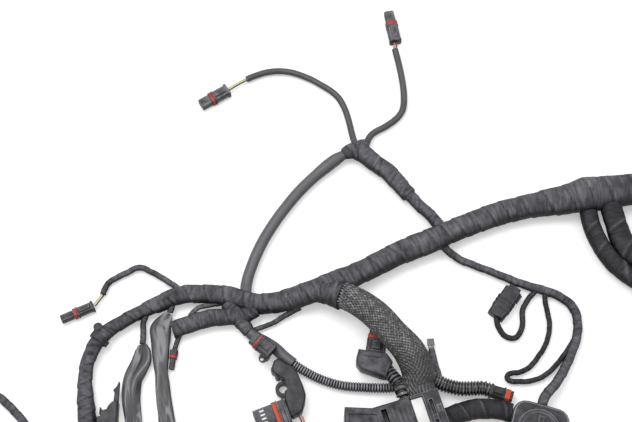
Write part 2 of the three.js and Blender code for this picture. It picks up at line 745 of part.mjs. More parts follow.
// Elbow plug: its nose reaches under the braided sleeve, and its cover turns the wires to the conduit
sealedPlug('elbow', {
  body: 14, seal: 4, nose: 9, width: 19, height: 16, ways: 3,
}, finish.nylon, [...ELBOW_REAR, 0], ELBOW_HEADING);

// A place behind a plug: so far from the middle of its rear face, and clear of it
function behindPlug(rear, heading, offset) {
  const turn = THREE.MathUtils.degToRad(heading);
  return [
    rear[0] - Math.cos(turn) * GAP - Math.sin(turn) * offset,
    rear[1] - Math.sin(turn) * GAP + Math.cos(turn) * offset,
  ];
}

function elbowCover() {
  const shape = outline([
    behindPlug(ELBOW_REAR, ELBOW_HEADING, 16), behindPlug(ELBOW_REAR, ELBOW_HEADING, -10.5),
    [-5.5, 76.5], [-2.8, 71.8], [-8.6, 57.4], [-14, 58.4], [-33, 65.4], [-37.1, 71], [-37.1, 76],
  ]);
  const shell = raised(shape, ELBOW_COVER_FLOOR, ELBOW_COVER_HEIGHT, 1.6);
  const ribShape = outline([[-30, 81], [-14, 78.6], [-14.4, 75.6], [-30.4, 78]]);
  const rib = raised(ribShape, 15, ELBOW_COVER_HEIGHT + 1);
  const socket = cord(
    [[-8.7, 67.5, 12.4], ...elbowConduitPoints.slice(0, 4)],
    ELBOW_CONDUIT.outer + 4 * GAP,
    12,
  );
  const crossing = cord(longConduitPoints, LONG_CONDUIT.outer + 4 * GAP, 12);
  return shell.add(rib).subtract(socket).subtract(crossing);
}

addPiece('elbow_cover', largest(elbowCover()), finish.nylon);

// Four-way plug on the smooth conduit sleeve, with the foot and the fixing ring on its near side
const FOUR_WAY_LIFT = 12.5;
const fourWayFoot = box(1.5, 8.5, 1.8, 6.6, 0.6 - FOUR_WAY_LIFT, 1);
const fourWayRing = disc(4.6, 8.6, 4, -2.4, 1.6, 12).subtract(disc(4.6, 10, 1.8, -4, 3, 12));
sealedPlug('four_way', {
  body: 15, seal: 3.4, nose: 4.5, width: 15.5, height: 10.5, ways: 4, extra: [fourWayFoot, fourWayRing],
}, finish.nylon, [-116.4, 81.4, FOUR_WAY_LIFT], 141);

// Five-way plug with its cable cover and fixing eye
const fiveWayHeading = 201.5;
const fiveWayRear = [-99, 22.1];
sealedPlug('five_way', {
  body: 9, seal: 3.6, nose: 18.2, width: 36, height: 17, ways: 5,
}, finish.nylon, [...fiveWayRear, 0], fiveWayHeading);

function backshell() {
  const arm = outline([
    [-116.6, 69], [-114.6, 74.5], [-110.6, 77], [-103.5, 71.6], [-97, 68.3], [-92.8, 64], [-90.2, 57.9],
    [-86.9, 50], [-84.6, 42], [-85.4, 34.6], [-87.8, 26.1], [-95.5, 20.9],
    behindPlug(fiveWayRear, fiveWayHeading, 0.8), behindPlug(fiveWayRear, fiveWayHeading, -15.5),
    [-104.8, 56], [-109.7, 59], [-113, 61], [-116, 64],
  ]);
  const shell = raised(arm, BACKSHELL_FLOOR, BACKSHELL_HEIGHT, 1.6);
  const [eyeX, eyeY] = EYE_PLACE;
  const eye = disc(eyeX, eyeY, EYE_OUTER, BACKSHELL_FLOOR, BACKSHELL_FLOOR + EYE_THICKNESS, 20);
  const hole = disc(eyeX, eyeY, EYE_HOLE, 0, BACKSHELL_HEIGHT + 1, 16);
  const knob = disc(-114.2, 66.4, 3.4, BACKSHELL_FLOOR, BACKSHELL_HEIGHT - 3, 12);
  const smallKnob = disc(-110.8, 60.6, 2.8, BACKSHELL_FLOOR, BACKSHELL_HEIGHT - 3, 12);
  const crossing = cord(longConduitPoints.slice(0, 5), LONG_CONDUIT.outer + 4 * GAP, 12);
  return joined([shell, eye, knob, smallKnob]).subtract(hole).subtract(smoothSleeveRoom).subtract(crossing);
}
addPiece('angled_backshell', largest(backshell()), finish.nylon);

addPiece('five_way_wires', wirePair([
  [-90.3, 23.8, 9], [-88.2, 20.6, 9], [-87.2, 16.5, 8], [-89.6, 12.9, 8], [-94.2, 11.1, 8],
]), finish.brownWire);

// Plug with a green body and a broad red seal at the end of the right conduit
sealedPlug('green', {
  body: 14, seal: 5, nose: 2.4, width: 12.5, height: 13, ways: 2, sealInset: 0.6,
}, finish.greenNylon, [88.7, 47.9, 0], -18);

// Round-cornered plug and its lid
const roundGroup = new THREE.Group();
roundGroup.position.set(ROUND_PLACE[0], ROUND_PLACE[1], 0);
roundGroup.rotation.z = ROUND_TURN;
harness.add(roundGroup);

function roundBody() {
  const shell = raised(roundedOutline(ROUND_WIDTH, ROUND_DEPTH, ROUND_CORNER), 0, ROUND_HEIGHT, 1.5);
  const rim = disc(0, 0, LID_RADIUS + 3, ROUND_HEIGHT - 3, ROUND_HEIGHT + 1.5);
  const recess = disc(0, 0, LID_RADIUS + GAP, ROUND_HEIGHT - LID_RECESS, 40);
  const holes = [];
  for (let i = 0; i < 4; i += 1) {
    const x = -12 + i * 8;
    holes.push(box(x - 1.5, x + 1.5, -ROUND_DEPTH / 2 - 1, -ROUND_DEPTH / 2 + 5, 7, 11));
  }
  return shell.add(rim).subtract(recess).subtract(joined(holes));
}

function roundLid() {
  const floor = ROUND_HEIGHT - LID_RECESS + GAP;
  const plate = disc(0, 0, LID_RADIUS, floor, ROUND_HEIGHT + LID_RISE);
  const grip = box(-2, 2, -LID_RADIUS + 4, LID_RADIUS - 4, ROUND_HEIGHT, ROUND_HEIGHT + LID_RISE + 2);
  return plate.add(grip);
}
addPiece('round_plug', roundBody(), finish.nylon, roundGroup);
addPiece('round_lid', roundLid(), finish.nylon, roundGroup);

// Plug beside the lower end of the trunk
function lowerLeftPlug() {
  const body = raised(outline([
    [-278.6, -4], [-278.6, 21], [-275.5, 21.6], [-275.2, 26.8], [-269.8, 28], [-268.4, 31.6], [-265, 35.2],
    [-260, 36], [-260, -4],
  ]), 0, 17, 1.2);
  const latch = raised(outline([
    [-264.6, 33], [-263.8, 44], [-265.2, 47], [-262, 50.6], [-260.4, 55], [-259.6, 55], [-260, 33],
  ]), 7, 12.4);
  const hook = raised(outline([[-276.8, 24], [-276.8, 30.4], [-275.6, 30.4], [-274.4, 25]]), 5, 13);
  const holes = [-267.5, -263.5].map((x) => box(x - 1, x + 1, 30, 40, 3.4, 5.4));
  return joined([body, latch, hook]).subtract(joined(holes));
}
addPiece('lower_left_plug', lowerLeftPlug(), finish.nylon);

// Tinned ring terminal on a short lead beside the braided sleeve
const terminalLeadPoints = [[42.6, 57, 4], [39.6, 68.4, 4], [37, 79, 4], [35.4, 88.1, 4]];
const terminalLeadEnd = terminalLeadPoints[3];
addPiece(
  'terminal_lead',
  largest(cord(terminalLeadPoints, TERMINAL_LEAD, 10).subtract(
    cord(rightConduitPoints, RIGHT_CONDUIT.outer + 2 * GAP, 12),
  ).subtract(braidRoom)),
  finish.nylon,
);

function ringTerminal() {
  const barrel = box(-2.6, 2.6, 0, 5, -2.2, 2.2);
  const tongue = box(-3.4, 3.4, 4, 11, -1, 0.6);
  return barrel.add(tongue);
}
const terminalGroup = new THREE.Group();
terminalGroup.position.set(terminalLeadEnd[0], terminalLeadEnd[1] + GAP, terminalLeadEnd[2]);
terminalGroup.rotation.z = THREE.MathUtils.degToRad(4);
harness.add(terminalGroup);
addPiece('tin_terminal', ringTerminal(), finish.tin, terminalGroup);

// Plugs that close what runs on past the right and the front
endPlug('trunk_end_plug', { length: 36, width: 38, height: 32, ways: 6 }, [264 + GAP, 249, 0], 0);
endPlug('right_branch_plug', { length: 34, width: 56, height: 21, ways: 8 }, [264 + GAP, 156, 0], 0);
endPlug('front_left_plug', { length: 34, width: 106, height: 20, ways: 8 }, [-248, -4 - GAP, 0], -90);

// Free cords

addPiece('upper_pvc_tube', largest(cord([
  [-143, 136, 11], [-143, 144, 9.4], [-142.6, 152, 8], [-141.2, 160, 7.4], [-138.9, 168, 7.2],
  [-135.6, 178, 7.2], [-131.6, 188.1, 7.2], [-126.6, 199, 7.2], [-120.8, 209.6, 7.2], [-113.9, 221, 7.2],
  [-106.3, 232.2, 7.2], [-91.7, 251.3, 7.2], [-75.7, 267.8, 7.3], [-59, 282.7, 8.2], [-52, 287.5, 8.8],
], PVC_TUBE).subtract(trunkRoom).subtract(yRoom)), finish.pvc);

const leftSleeveEnd = [-147, 378.4, 5];
const leftPlugRear = [-166, 365.6];
addPiece('upper_left_sleeve', largest(cord([
  [-33, 296, 9], [-35, 302, 7.4], [-36.5, 308, 6], [-38.4, 316, 5], [-40, 324, 4.6], [-41.8, 332.2, 4.5],
  [-44.2, 341, 4.5], [-47.3, 349, 4.5], [-51, 356, 4.5], [-55.6, 361.6, 4.5], [-62, 367, 4.5],
  [-68.4, 371.2, 4.5], [-80, 378.4, 4.5], [-92.3, 384, 4.5], [-100, 386.6, 4.5], [-109, 388, 4.5],
  [-118, 388, 4.5], [-127.8, 386.4, 4.5], [-138, 382.8, 4.6], leftSleeveEnd,
], LEFT_SLEEVE).subtract(yRoom)), finish.pvc);
addPiece('upper_left_wires', wirePair([
  [leftSleeveEnd[0] - 0.4, leftSleeveEnd[1] - 0.2, 5],
  [-156, 373, 5.4],
  [leftPlugRear[0] + 0.3, leftPlugRear[1] + 0.3, 6],
]), finish.yellowWire);
const sensorPlug = { body: 17.5, seal: 3.4, nose: 11, width: 13.4, height: 11, ways: 2 };
sealedPlug('upper_left', sensorPlug, finish.greyNylon, [...leftPlugRear, 0], 212.5);

const rightSleeveEnd = [7.8, 413.6, 5];
const rightPlugRear = [8.6, 421.8];
addPiece('upper_right_sleeve', largest(cord([
  [-27, 292, 9], [-25.6, 298, 7.6], [-23.6, 304, 6.5], [-21.6, 309.6, 5.6], [-18.6, 314.6, 5],
  [-13.2, 319, 4.6], [-6.8, 322.6, 4.5], [-0.6, 326.6, 4.5], [5.6, 331.4, 4.5], [10.4, 336.6, 4.5],
  [13.8, 342.6, 4.5], [15.4, 349.6, 4.5], [15.8, 357, 4.5], [15.6, 367, 4.5], [14.4, 378, 4.5],
  [12.8, 389, 4.5], [11, 399, 4.5], [9.4, 406.4, 4.6], rightSleeveEnd,
], RIGHT_SLEEVE).subtract(yRoom)), finish.pvc);
addPiece('upper_right_wires', wirePair([
  [rightSleeveEnd[0] - 0.1, rightSleeveEnd[1] + 0.4, 5],
  [8.3, 418, 5.2],
  [rightPlugRear[0], rightPlugRear[1] - 0.4, 5.5],
]), finish.brownWire);
sealedPlug('upper_right', {
  ...sensorPlug, body: 19.4, seal: 4, nose: 12.2, width: 12.6,
}, finish.greyNylon, [...rightPlugRear, 0], 100.5);

const archLeadEnd = [-281.7, 143.8, 5];
const archPlugRear = [-289.8, 131.8];
addPiece('arch_lead', largest(cord([
  [-203, 142, 10], [-206.5, 146, 8.6], [-210, 149.8, 7], [-214.4, 153.6, 5.6], [-219, 156.8, 4.6],
  [-224, 160.2, 4.4], [-229, 163.2, 4.4], [-234, 166, 4.4], [-239.2, 168.6, 4.4], [-243.6, 170.8, 4.4],
  [-248, 171.6, 4.4], [-253.4, 169.8, 4.4], [-259, 166.6, 4.4], [-264.4, 163.8, 4.4], [-269.6, 161, 4.4],
  [-274.4, 158, 4.4], [-278.4, 153.8, 4.4], [-280.6, 148.8, 4.6], archLeadEnd,
], ARCH_LEAD).subtract(trunkRoom)), finish.tape);
addPiece('arch_wires', wirePair([
  [archLeadEnd[0] - 0.2, archLeadEnd[1] - 0.5, 5],
  [-285.9, 137.6, 5.2],
  [archPlugRear[0] + 0.5, archPlugRear[1] + 0.5, 5.4],
]), finish.yellowWire);
sealedPlug('arch', {
  ...sensorPlug, body: 17, nose: 12.4, width: 10.2, height: 10.2,
}, finish.nylon, [...archPlugRear, 0], 204.5);

sealedPlug('hanging', {
  body: 4.6, seal: 3.4, nose: 10, width: 7.6, height: 8.4, ways: 1,
}, finish.nylon, [-210.2, 87.6, 0], -96);

// The long thin lead is a little thicker past its side leads.
const loopBeforeEnd = onRound(-0.5, ROUND_DEPTH / 2 + 9, 13);
const loopEnd = onRound(-0.5, ROUND_DEPTH / 2 + GAP, 13);
const loopPoints = [
  [47.6, 193.6, 10.8, 3.8], [53.5, 188.1, 9, 3.8], [58.4, 184.4, 7.5, 3.8], [64.2, 180.4, 6, 3.8],
  [72, 176.6, 5.6, 3.7], [80.6, 173, 5.6, 3.7], [92.6, 168, 5.6, 3.7], [104.6, 163, 5.6, 3.7],
  [115, 158.4, 5.6, 3.9], [125.5, 154.1, 5.6, 4.1], [136.4, 150.4, 5.6, 4.4], [147, 147.2, 5.6, 4.5],
  [156.4, 143.6, 5.6, 4.4], [164.5, 139, 5.6, 4.3], [171, 133.4, 5.6, 4.4], [175, 126.3, 5.6, 4.4],
  [176.6, 117.4, 5.6, 4.3], [176.2, 108, 5.6, 4.3], [174.4, 99, 5.8, 4.3], [171, 90.5, 6, 4.3],
  [166.4, 80, 6.6, 4.3], [160.8, 69.5, 7.5, 4.4], [155.4, 60.4, 9.2, 4.5], [149.2, 52, 11, 4.6],
  [...loopBeforeEnd, 4.6], [...loopEnd, 4.6],
];
const loopCurve = routeThrough(loopPoints);
const loopForm = (extra) => formAlong(
  loopCurve,
  plainStations(loopCurve.getLength(), radiusAlong(loopPoints, loopCurve), 15, extra),
  8,
);
const loopRoom = loopForm(2 * GAP);
addPiece('loop_lead', largest(loopForm(0).subtract(trunkRoom)), finish.tape);

const loopPlugPlace = [97.6, 120.8, 0];
const loopPlugHeading = 54;
const loopPlugRoom = barAlongX(chamferedOutline(18, 14, 2.5, 0, 6.5), -GAP, 10)
  .rotate([0, 0, loopPlugHeading])
  .translate(loopPlugPlace);
addPiece('loop_plug_lead', largest(cord([
  [98.9, 122, 5.6], [99, 117.4, 5.4], [99.8, 112.6, 4.6], [102, 107.4, 4.2], [105.7, 102.6, 4],
  [109.8, 100.2, 4], [114, 99.8, 4], [118, 101.4, 4], [120.9, 105.2, 4], [123, 110.4, 4], [124.2, 116.1, 4],
  [124, 121.8, 4], [124.6, 127.4, 4], [127, 133, 4.1], [130.4, 138.4, 4.2], [134.6, 143.4, 4.6],
  [139.6, 148.4, 5.4],
], LOOP_PLUG_LEAD).subtract(loopRoom).subtract(loopPlugRoom)), finish.tape);
addPiece('return_loop', largest(cord([
  [147, 147, 5.4], [147, 139, 4.6], [147.8, 131, 4], [149.2, 122, 4], [149.8, 113, 4], [148.4, 104, 4],
  [145.4, 95.1, 4], [141.4, 87.8, 4], [136.6, 81.3, 4], [132.6, 76, 4], [128, 71.4, 4], [122.6, 68, 4],
  [116.8, 66, 4], [111, 65.4, 4], [107, 63.8, 4], [105.8, 61.2, 4], [107.4, 58.6, 4], [111.4, 57.4, 4],
  [117.2, 57.2, 4], [125, 57.4, 4], [132.8, 59, 4], [139.8, 62, 4], [146.2, 66.4, 4], [151.6, 71.4, 4],
  [156.6, 77, 4], [161.8, 83.4, 4.4], [166.9, 90.2, 5], [171.6, 97.6, 5.6],
], RETURN_LOOP).subtract(loopRoom)), finish.tape);

// Ribbed plug that lies against the loop lead, rear flange towards the front
function loopPlug() {
  const body = barAlongX(chamferedOutline(17, 12, 2, 0, 6), 4, 32);
  const flange = barAlongX(chamferedOutline(16.6, 13, 2.5, 0, 6.5), 0, 5);
  const neck = barAlongX(chamferedOutline(12, 8, 1.5, 0, 5), 32, 36.4);
  const ribs = [9.5, 14, 18.5].map((x) => barAlongX(chamferedOutline(18.8, 13, 2.2, 0, 6.5), x, x + 2));
  const lug = box(24, 32, -10, -7, 2, 8);
  return joined([body, flange, neck, ...ribs, lug]);
}
const loopPlugGroup = new THREE.Group();
loopPlugGroup.position.set(...loopPlugPlace);
loopPlugGroup.rotation.z = THREE.MathUtils.degToRad(loopPlugHeading);
harness.add(loopPlugGroup);
addPiece('loop_plug', loopPlug(), finish.nylon, loopPlugGroup);

addPiece('far_tail', cord([
  [-301.4, -22, 8], [-306.4, -22, 6.4], [-312, -20.6, 5], [-317.4, -17, 4.6], [-322.4, -12, 4.4],
  [-327.8, -6, 4.4], [-333.4, 0.4, 4.4], [-339.2, 7.6, 4.4], [-345.2, 15, 4.4], [-351.6, 22.2, 4.4],
  [-358.2, 29, 4.4], [-365, 35.4, 4.4], [-371.8, 41, 4.6], [-378, 44.8, 5], [-384, 48, 5.4],
], TAIL_LEAD), finish.tape);
endPlug('tail_plug', { length: 24, width: 14, height: 11, ways: 2 }, [-384.4, 48.3, 0], 150);

// Flattened glossy sleeves over the thin break-outs, down to the plug at the front
function flatSleeve(points) {
  const curve = routeThrough(points);
  const stations = plainStations(curve.getLength(), radiusAlong(points, curve), 11);
  return formAlong(curve, stations, 10, [1, FLATNESS]);
}
addPiece('right_gloss_sleeve', largest(flatSleeve([
  [-216.4, 123.4, 7.3, 3.8], [-219.6, 117.6, 6.8, 7.4], [-224.2, 108.4, 6, 11], [-223.6, 96.5, 5.4, 10],
  [-223, 83.5, 5.2, 8.3], [-221.7, 66, 5.2, 6.4], [-219.2, 48.8, 5.2, 7.2], [-216.9, 34, 5.2, 7.6],
  [-214.2, 18.3, 5.2, 8.3], [-212.5, 5, 5.2, 8.8], [-212.5, -4, 5.2, 9],
]).subtract(innerLeft.room).subtract(trunkRoom)), finish.glossPvc);
addPiece('left_gloss_sleeve', largest(flatSleeve([
  [-240.6, 92.8, 6, 4.4], [-240, 87, 5.8, 7.8], [-240.6, 78.5, 5.4, 9.8], [-244.4, 68.7, 5.2, 9.7],
  [-248.2, 58.7, 5.2, 9.2], [-249.2, 46.3, 5.2, 9.2], [-248.2, 34, 5.2, 9], [-245.6, 18.3, 5.2, 8.4],
  [-245, 5, 5.2, 8.8], [-245, -4, 5.2, 9],
]).subtract(trunkRoom)), finish.glossPvc);

export default harness;
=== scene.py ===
import math

import bmesh
import bpy
from mathutils import Matrix, Vector, noise


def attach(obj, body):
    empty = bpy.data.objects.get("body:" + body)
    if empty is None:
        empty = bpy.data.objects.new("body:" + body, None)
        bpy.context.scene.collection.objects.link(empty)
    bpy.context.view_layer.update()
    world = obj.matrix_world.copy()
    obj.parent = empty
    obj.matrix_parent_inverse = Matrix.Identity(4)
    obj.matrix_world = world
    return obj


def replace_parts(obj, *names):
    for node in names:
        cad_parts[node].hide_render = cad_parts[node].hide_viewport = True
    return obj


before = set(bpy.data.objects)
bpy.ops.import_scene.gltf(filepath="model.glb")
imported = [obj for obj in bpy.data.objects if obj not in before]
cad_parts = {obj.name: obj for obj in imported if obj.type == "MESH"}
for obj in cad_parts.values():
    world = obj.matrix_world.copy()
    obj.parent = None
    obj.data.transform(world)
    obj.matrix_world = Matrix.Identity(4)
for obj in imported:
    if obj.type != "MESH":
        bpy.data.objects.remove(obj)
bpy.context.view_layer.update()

# The stage: a white table top, photographed from high over its front edge. One big softbox
# stands behind at the left, a weaker one behind at the right, and a white room fills the shadows.
camera_place = (-0.075, -0.254, 1.2053)
camera_tilt = math.radians(22)
frame_width_pixels = 632
focal_pixels = 1300


def colour(hex_code):
    """An sRGB hex value as a linear colour."""
    parts = [int(hex_code[i:i + 2], 16) / 255 for i in (1, 3, 5)]
    linear = [c / 12.92 if c <= 0.04045 else ((c + 0.055) / 1.055) ** 2.4 for c in parts]
    return (*linear, 1.0)


def add_node(tree, kind, settings=None, inputs=None):
    """One shader node with its settings, and its inputs as values or as links from sockets."""
    made = tree.nodes.new(kind)
    for name, value in (settings or {}).items():
        setattr(made, name, value)
    for name, value in (inputs or {}).items():
        if isinstance(value, bpy.types.NodeSocket):
            tree.links.new(value, made.inputs[name])
        else:
            made.inputs[name].default_value = value
    return made


def seen_directly(tree):
    """1 for rays from the camera, and for those that gloss and glass send on."""
    path = add_node(tree, "ShaderNodeLightPath")
    shiny = add_node(tree, "ShaderNodeMath", {"operation": "MAXIMUM"}, {
        0: path.outputs["Is Glossy Ray"], 1: path.outputs["Is Transmission Ray"],
    })
    return add_node(tree, "ShaderNodeMath", {"operation": "MAXIMUM"}, {
        0: path.outputs["Is Camera Ray"], 1: shiny.outputs[0],
    }).outputs[0]


camera_data = bpy.data.cameras.new("camera")
camera_data.sensor_width = 36
camera_data.lens = 36 * focal_pixels / frame_width_pixels
camera = bpy.data.objects.new("camera", camera_data)
camera.location = camera_place
camera.rotation_euler = (camera_tilt, 0, 0)
bpy.context.scene.collection.objects.link(camera)
bpy.context.scene.camera = camera
bpy.context.scene.view_settings.view_transform = "Standard"

world = bpy.data.worlds.new("studio")
bpy.context.scene.world = world
world.use_nodes = True
sky = world.node_tree
sky.nodes.clear()
sky_place = add_node(sky, "ShaderNodeTexCoord")
sky_axes = add_node(sky, "ShaderNodeSeparateXYZ", inputs={0: sky_place.outputs["Generated"]})
level_at_horizon, level_overhead = 0.08, 0.85
sky_level = add_node(sky, "ShaderNodeMapRange", inputs={
    "Value": sky_axes.outputs["Z"], "To Min": level_at_horizon, "To Max": level_overhead,
})
sky_fill = add_node(sky, "ShaderNodeBackground", inputs={
    "Color": (1, 1, 1, 1), "Strength": sky_level.outputs[0],
})
sky_seen = add_node(sky, "ShaderNodeBackground", inputs={"Color": (1, 1, 1, 1), "Strength": 1.0})
sky_mix = add_node(sky, "ShaderNodeMixShader", inputs={
    0: seen_directly(sky), 1: sky_fill.outputs[0], 2: sky_seen.outputs[0],
})
add_node(sky, "ShaderNodeOutputWorld", inputs={"Surface": sky_mix.outputs[0]})

lit_centre = Vector((-0.07, 0.2, 0))
lamps = [  # name, place, side and watts
    ("softbox_left", (-0.48, 0.46, 1.3), 0.7, 8.5),
    ("softbox_right", (0.55, 0.6, 1.3), 0.6, 2.5),
]
for lamp_name, lamp_place, lamp_size, lamp_power in lamps:
    lamp_data = bpy.data.lights.new(lamp_name, "AREA")
    lamp_data.size = lamp_size
    lamp_data.energy = lamp_power
    lamp = bpy.data.objects.new(lamp_name, lamp_data)
    lamp.location = lamp_place
    aim = lit_centre - Vector(lamp_place)
    lamp.rotation_euler = aim.to_track_quat("-Z", "Y").to_euler()
    bpy.context.scene.collection.objects.link(lamp)

table_half_width = 6
table_drop = 0.0002
table_top = bmesh.new()
bmesh.ops.create_grid(table_top, x_segments=1, y_segments=1, size=table_half_width)
bmesh.ops.translate(table_top, verts=table_top.verts, vec=(0, 0, -table_drop))
table_mesh = bpy.data.meshes.new("table_top")
table_top.to_mesh(table_mesh)
table_top.free()
table = bpy.data.objects.new("table_top", table_mesh)
bpy.context.scene.collection.objects.link(table)

# Matt white paper: as white as the photograph's background to the camera, and a mid grey to
# the light that bounces off it, so that the undersides stay dark
white_table = bpy.data.materials.new("white_table")
white_table.use_nodes = True
white_tree = white_table.node_tree
white_tree.nodes.clear()
table_paint = add_node(white_tree, "ShaderNodeBsdfDiffuse", inputs={"Color": colour("#f4f4f4")})
glow = 0.34
table_lift = add_node(white_tree, "ShaderNodeEmission", inputs={
    "Color": (1, 1, 1, 1), "Strength": glow,
})
table_lit = add_node(white_tree, "ShaderNodeAddShader", inputs={
    0: table_paint.outputs[0], 1: table_lift.outputs[0],
})
table_bounce = add_node(white_tree, "ShaderNodeBsdfDiffuse", inputs={"Color": colour("#8c8c8c")})
table_mix = add_node(white_tree, "ShaderNodeMixShader", inputs={
    0: seen_directly(white_tree), 1: table_bounce.outputs[0], 2: table_lit.outputs[0],
})
add_node(white_tree, "ShaderNodeOutputMaterial", inputs={"Surface": table_mix.outputs[0]})
table_mesh.materials.append(white_table)

# The free leads: thin wires inside soft vinyl or wound tape. They leave the bundles,
# lie loose on the table and end in small plugs. Their routes are those of the solids.


def mm(points):
    """Points and radii measured in millimetres, in metres."""
    return [tuple(value / 1000 for value in point) for point in points]


steps_between_points = 24


def follow(points, step=0.0015):
    """Evenly spaced (place, radius) along a centripetal Catmull-Rom line through the points."""
    places = [Vector(p[:3]) for p in points]
    sizes = [p[3] if len(p) > 3 else 0.0 for p in points]
    before = places[0] * 2 - places[1]
    after = places[-1] * 2 - places[-2]
    chain = [before, *places, after]
    fine = []
    for i in range(len(places) - 1):
        p0, p1, p2, p3 = chain[i:i + 4]
        gap = [max((b - a).length ** 0.5, 1e-6) for a, b in ((p0, p1), (p1, p2), (p2, p3))]
        rise = (p1 - p0) / gap[0] - (p2 - p0) / (gap[0] + gap[1]) + (p2 - p1) / gap[1]
        fall = (p2 - p1) / gap[1] - (p3 - p1) / (gap[1] + gap[2]) + (p3 - p2) / gap[2]
        rise, fall = rise * gap[1], fall * gap[1]
        for j in range(steps_between_points):
            t = j / steps_between_points
            place = (
                p1 * (2 * t ** 3 - 3 * t ** 2 + 1) + rise * (t ** 3 - 2 * t ** 2 + t)
                + p2 * (3 * t ** 2 - 2 * t ** 3) + fall * (t ** 3 - t ** 2)
            )
            fine.append((place, sizes[i] + (sizes[i + 1] - sizes[i]) * t))
    fine.append((places[-1], sizes[-1]))
    reach = [0.0]
    for (a, _), (b, _) in zip(fine, fine[1:]):
        reach.append(reach[-1] + (b - a).length)
    count = max(2, round(reach[-1] / step))
    even = []
    k = 0
    for i in range(count + 1):
        target = reach[-1] * i / count
        while k < len(reach) - 2 and reach[k + 1] < target:
            k += 1
        t = (target - reach[k]) / max(reach[k + 1] - reach[k], 1e-9)
        place = fine[k][0].lerp(fine[k + 1][0], min(t, 1))
        even.append((place, fine[k][1] + (fine[k + 1][1] - fine[k][1]) * min(t, 1)))
    return even


def line_length(line):
    """The length of a line of (place, radius)."""
    return sum((b[0] - a[0]).length for a, b in zip(line, line[1:]))


def finish_mesh(bm, name, material, sharp_angle=40):
    """The bmesh as a piece of the harness, riding on its body."""
    mesh = bpy.data.meshes.new(name)
    bm.to_mesh(mesh)
    bm.free()
    for face in mesh.polygons:
        face.use_smooth = True
    mesh.set_sharp_from_angle(angle=math.radians(sharp_angle))
    piece = bpy.data.objects.new(name, mesh)
    bpy.context.scene.collection.objects.link(piece)
    for one in material if isinstance(material, list) else [material]:
        mesh.materials.append(one)
    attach(piece, "root")
    return piece


def wrap(name, line, skin, material, around=24, squash=(1.0, 1.0)):
    """A sheet rolled round a line. skin(angle, along, radius) is its distance from the line,
    and its UV map is in millimetres round and along, so that a weave keeps its real scale."""
    rows = len(line) - 1
    spacing = line_length(line) / rows
    middle = line[rows // 2][1]
    frames = []
    up = Vector((0, 0, 1))
    for i, (place, radius) in enumerate(line):
        ahead = (line[min(i + 1, rows)][0] - line[max(i - 1, 0)][0]).normalized()
        side = ahead.cross(up).normalized()
        frames.append((place, side, side.cross(ahead), radius))
    bm = bmesh.new()
    uv_layer = bm.loops.layers.uv.new("round_and_along")
    bmesh.ops.create_grid(bm, x_segments=around, y_segments=rows, size=0.5)
    for face in bm.faces:
        for loop in face.loops:
            across, along = loop.vert.co.x + 0.5, loop.vert.co.y + 0.5
            turn = across * math.tau * middle * 1000
            loop[uv_layer].uv = (turn, along * spacing * rows * 1000)
    for vert in bm.verts:
        angle = (vert.co.x + 0.5) * math.tau
        row = round((vert.co.y + 0.5) * rows)
        place, side, normal, radius = frames[row]
        reach = skin(angle, row * spacing, radius)
        sideways = side * math.cos(angle) * squash[0] * reach
        vert.co = place + sideways + normal * math.sin(angle) * squash[1] * reach
    bmesh.ops.remove_doubles(bm, verts=bm.verts, dist=1e-6)
    bmesh.ops.holes_fill(bm, edges=[e for e in bm.edges if e.is_boundary], sides=0)
    bmesh.ops.recalc_face_normals(bm, faces=bm.faces)
    return finish_mesh(bm, name, material)


def keep_height(piece, line, height):
    """Keep height(angle, along) on the mesh of a wrapped piece, for its material to read."""
    middle = line[(len(line) - 1) // 2][1]
    kept = piece.data.attributes.new("height", "FLOAT", "POINT")
    places = piece.data.uv_layers["round_and_along"].data
    for loop in piece.data.loops:
        around_mm, along_mm = places[loop.index].uv
        kept.data[loop.vertex_index].value = height(around_mm / (middle * 1000), along_mm / 1000)


def new_material(name):
    """A material, its node tree and its shader."""
    made = bpy.data.materials.new(name)
    made.use_nodes = True
    return made, made.node_tree, made.node_tree.nodes["Principled BSDF"]


def cloudy(tree, scale, detail=3.0, roughness=0.5):
    """What wanders through the whole material, at so many swings a metre."""
    where = add_node(tree, "ShaderNodeTexCoord")
    return add_node(tree, "ShaderNodeTexNoise", inputs={
        "Vector": where.outputs["Object"], "Scale": scale, "Detail": detail, "Roughness": roughness,
    }).outputs["Fac"]


def recolour(made, inputs, so_far, blend_type="MIX"):
    """Blend the colour that a material has so far, at the input so_far, with the other inputs."""
    tree = made.node_tree
    surface = tree.nodes["Principled BSDF"]
    plain = surface.inputs["Base Color"].links[0].from_socket
    settings = {"data_type": "RGBA", "blend_type": blend_type}
    tone = add_node(tree, "ShaderNodeMix", settings, {**inputs, so_far: plain})
    tree.links.new(tone.outputs[2], surface.inputs["Base Color"])


def paint_shade_in_hollows(made, hex_code):
    """Painted shade, with the dirt that the hollows hold: where the height kept on the mesh is 0,
    the colour is painted dark.
    """
    kept = add_node(made.node_tree, "ShaderNodeAttribute", {"attribute_name": "height"})
    recolour(made, {0: kept.outputs["Fac"], 6: colour(hex_code)}, 7)


def paint_shade_on_flanks(made, low, turned=0.2, level=0.8):
    """Painted shade: the colour is multiplied down to low on the flanks and kept on what faces up,
    as a light from above leaves them.
    """
    tree = made.node_tree
    facing = add_node(tree, "ShaderNodeNewGeometry")
    facing_axes = add_node(tree, "ShaderNodeSeparateXYZ", inputs={0: facing.outputs["Normal"]})
    shade = add_node(tree, "ShaderNodeMapRange", {"interpolation_type": "SMOOTHSTEP"}, {
        "Value": facing_axes.outputs["Z"], "From Min": turned, "From Max": level, "To Min": low,
    })
    recolour(made, {0: 1.0, 7: shade.outputs[0]}, 6, "MULTIPLY")


def ripple(angle, along, grain, seed):
    """Smooth noise on the skin of a tube, the same at both sides of its seam."""
    spot = (math.cos(angle) * 1.3 + seed, math.sin(angle) * 1.3, along / grain + seed * 7)
    return noise.noise(spot)


